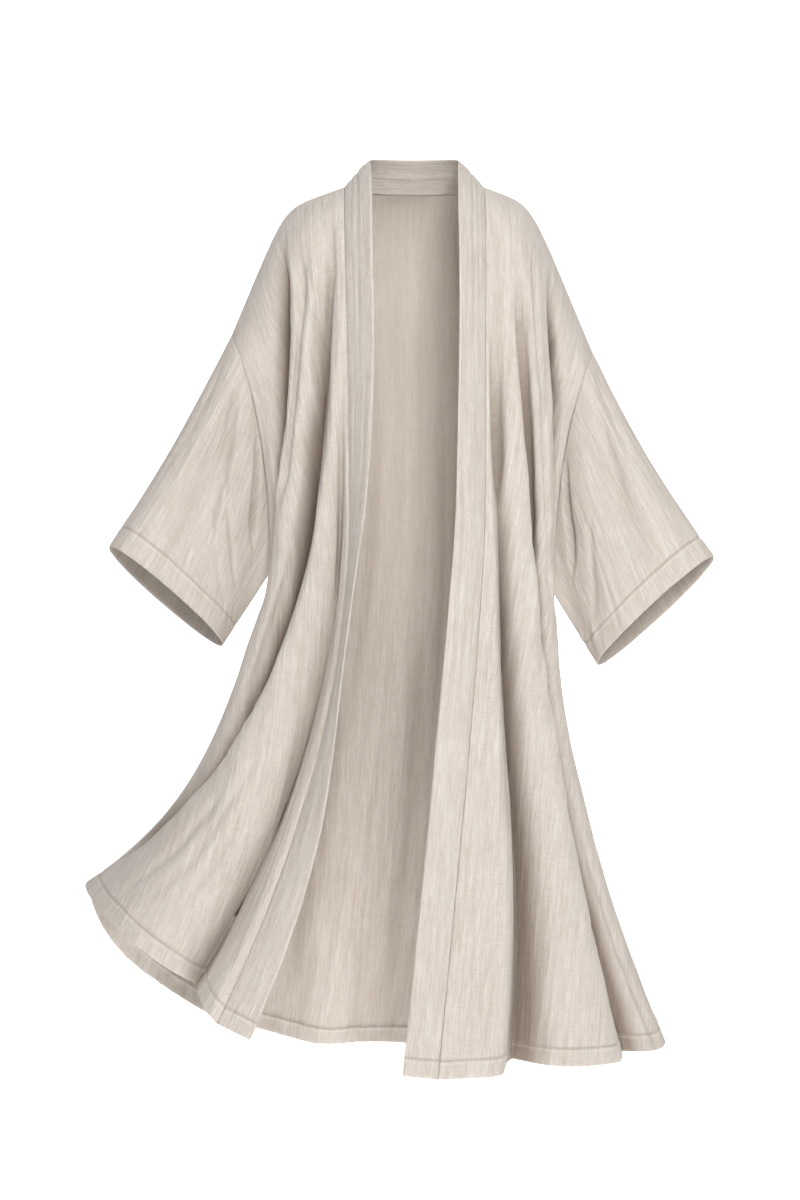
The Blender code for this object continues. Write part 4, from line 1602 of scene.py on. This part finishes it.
@dataclass
class Jacket:
    """The whole jacket: two fronts, back, two sleeves and collar band."""

    form: JacketForm
    gauze: GauzeFinish
    thread: ThreadFinish
    crinkle: Crinkle
    stitching: Stitching

    def pieces(self) -> list[ClothPiece]:
        """Lays out the six cut pieces.

        Returns:
            The pieces, with their seeds in order from 1.
        """
        form = self.form
        left, right = form.front(LEFT, TROUGHS_LEFT), form.front(RIGHT, TROUGHS_RIGHT)
        back = form.back()
        sleeve_left, sleeve_right = form.sleeve(LEFT, left, back), form.sleeve(RIGHT, right, back)
        band = form.band(left, right, back)
        sewn = {"edges": (Edge.SEAM, Edge.SEAM, Edge.SEAM, Edge.HEM)}
        body = {"crinkle_from": (0.03, 0.16), "crinkle_size": 1.4, "straight_grain": True, **sewn}
        # The back's inner face carries painted light near the top.
        back_body = {"painted_light_inside": 1.0, "drawn_seams": (2,), **body}
        arm = {"crinkle_from": (0.0, 0.2), "crinkle_size": 0.8, "hem_depth": form.cuff_hem, **sewn}
        # The sleeves' inner faces carry painted shade all over.
        arm.update({"drawn_seams": (2,), "seam_veil": 0.0016, "painted_shade_inside": 0.35})
        strip = {"crinkle_from": (-1.0, -0.5), "crinkle_size": 0.45, "wall": 0.0024}
        strip["edges"] = (Edge.SEAM, Edge.FOLD, Edge.HEM, Edge.HEM)
        front_cut, sleeve_cut = Cut(0.44, 1.27, 0.36), Cut(0.62, 0.30, 0.15)
        plans = (
            ("back", back, Cut(0.92, 1.27, 0.80), CREASES_BACK, back_body),
            ("front_left", left, front_cut, CREASES_LEFT, body),
            ("front_right", right, front_cut, CREASES_RIGHT, body),
            ("sleeve_left", sleeve_left, sleeve_cut, CREASES_SLEEVE_LEFT, arm),
            ("sleeve_right", sleeve_right, sleeve_cut, CREASES_SLEEVE_RIGHT, arm),
            ("collar_band", band, Cut(0.05, 2.75, 0.137), CREASES_BAND, strip),
        )
        pieces = []
        for shift, (node, surface, cut, creases, make) in enumerate(plans, start=1):
            own = {"creases": creases, "crinkle": self.crinkle, "shift": shift, **make}
            pieces.append(ClothPiece(f"{node}_cloth", node, surface, cut, **own))
        return pieces

    def build(self) -> None:
        """Builds, dresses and attaches every piece, with its stitches."""
        gauze = self.gauze.material("oatmeal_gauze")
        tree = self.stitching.tree(self.thread.material("sewing_thread"))
        for piece in self.pieces():
            cloth = piece.build(gauze)
            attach(cloth, "root")
            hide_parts(piece.node)
            lines = []
            for edge in (2, 3):
                if piece.edges[edge] is Edge.HEM:
                    lines.append(piece.stitch_line(edge, piece.hem_depth))
            if piece.node == "collar_band":
                lines.append(piece.stitch_line(0, BAND_STITCH_DEPTH))
            stitches = self.stitching.sew(f"{piece.node}_stitches", lines, tree)
            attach(stitches, "root")
            area = sum(face.area for face in cloth.data.polygons) / 2.0
            LOG.info("%s: %d faces, %.3f m2 of cloth", cloth.name, len(cloth.data.polygons), area)
            LOG.info("%s: %d faces", stitches.name, len(stitches.data.polygons))


@dataclass(frozen=True)
class Lamp:
    """One square soft light: where it hangs, its side and its power in watts."""

    name: str
    place: Colour
    size: float
    power: float


@dataclass(frozen=True)
class Studio:
    """Plain pale floor, soft studio light and the camera."""

    floor_level: float = -1.46
    floor_half: float = 7.0
    floor_front: float = -6.0
    floor_bend: float = 3.0
    floor_round: float = 2.0
    floor_top: float = 5.0
    floor_steps: int = 17
    floor_colour: Colour = (0.93, 0.93, 0.93)
    floor_dull: float = 0.985
    floor_repeats: float = 1.5
    floor_roughness: float = 0.9
    floor_glow: float = 0.80
    aim: Colour = (0.0, 0.0, -0.6)
    lamps: tuple[Lamp, ...] = (
        Lamp("front_softbox", (0.5, -4.5, 0.8), 1.2, 132.0),
        Lamp("right_softbox", (3.4, -3.6, 1.2), 1.4, 14.0),
        Lamp("top_softbox", (0.0, -0.9, 2.6), 2.0, 54.0),
    )
    camera_place: Colour = (-0.0196, -3.4, -0.578)
    lens: float = 72.86
    sensor: float = 36.0
    sky: float = 0.05

    def floor(self) -> None:
        """Builds a floor that curves up into a plain wall far behind the jacket."""
        profile = [(self.floor_front, self.floor_level)]
        for turn in np.linspace(0.0, math.pi / 2.0, self.floor_steps):
            rise = self.floor_round * (1.0 - math.cos(turn))
            profile.append((self.floor_bend + self.floor_round * math.sin(turn), self.floor_level + rise))
        profile.append((self.floor_bend + self.floor_round, self.floor_top))
        points = [(x, y, z) for y, z in profile for x in (-self.floor_half, self.floor_half)]
        faces = [(2 * i, 2 * i + 1, 2 * i + 3, 2 * i + 2) for i in range(len(profile) - 1)]
        mesh = bpy.data.meshes.new("studio_floor")
        mesh.from_pydata(points, [], faces)
        mesh.polygons.foreach_set("use_smooth", np.ones(len(faces), bool))
        dull = tuple(self.floor_dull * value for value in self.floor_colour)
        values = {
            "Roughness": self.floor_roughness,
            "Emission Color": (1.0, 1.0, 1.0, 1.0),
            "Emission Strength": self.floor_glow,
        }
        colours = (dull, self.floor_colour)
        mesh.materials.append(mottled_material("pale_floor", colours, self.floor_repeats, values))
        placed("studio_floor", mesh)

    def hang(self, lamp: Lamp) -> None:
        """Hangs one soft light and points it at the jacket.

        Args:
            lamp: The light.
        """
        data = bpy.data.lights.new(lamp.name, "AREA")
        data.size = lamp.size
        data.energy = lamp.power
        light = placed(lamp.name, data)
        light.location = lamp.place
        toward = Vector(self.aim) - Vector(lamp.place)
        light.rotation_euler = toward.to_track_quat("-Z", "Y").to_euler()

    def build(self) -> None:
        """Sets up floor, lights, sky and camera."""
        self.floor()
        for lamp in self.lamps:
            self.hang(lamp)
        world = bpy.data.worlds.new("studio_sky")
        world.use_nodes = True
        sky = world.node_tree.nodes["Background"]
        sky.inputs["Color"].default_value = (1.0, 1.0, 1.0, 1.0)
        sky.inputs["Strength"].default_value = self.sky
        scene = bpy.context.scene
        scene.world = world
        scene.view_settings.view_transform = "Standard"
        data = bpy.data.cameras.new("studio_camera")
        data.lens = self.lens
        data.sensor_width = self.sensor
        camera = placed("studio_camera", data)
        camera.location = self.camera_place
        camera.rotation_euler = (math.pi / 2.0, 0.0, 0.0)
        scene.camera = camera


def main() -> None:
    """Builds the jacket and the studio."""
    logging.basicConfig(level=logging.INFO, format="%(message)s")
    Jacket(JacketForm(), GauzeFinish(), ThreadFinish(), Crinkle(), Stitching()).build()
    Studio().build()


if __name__ == "__main__":
    main()
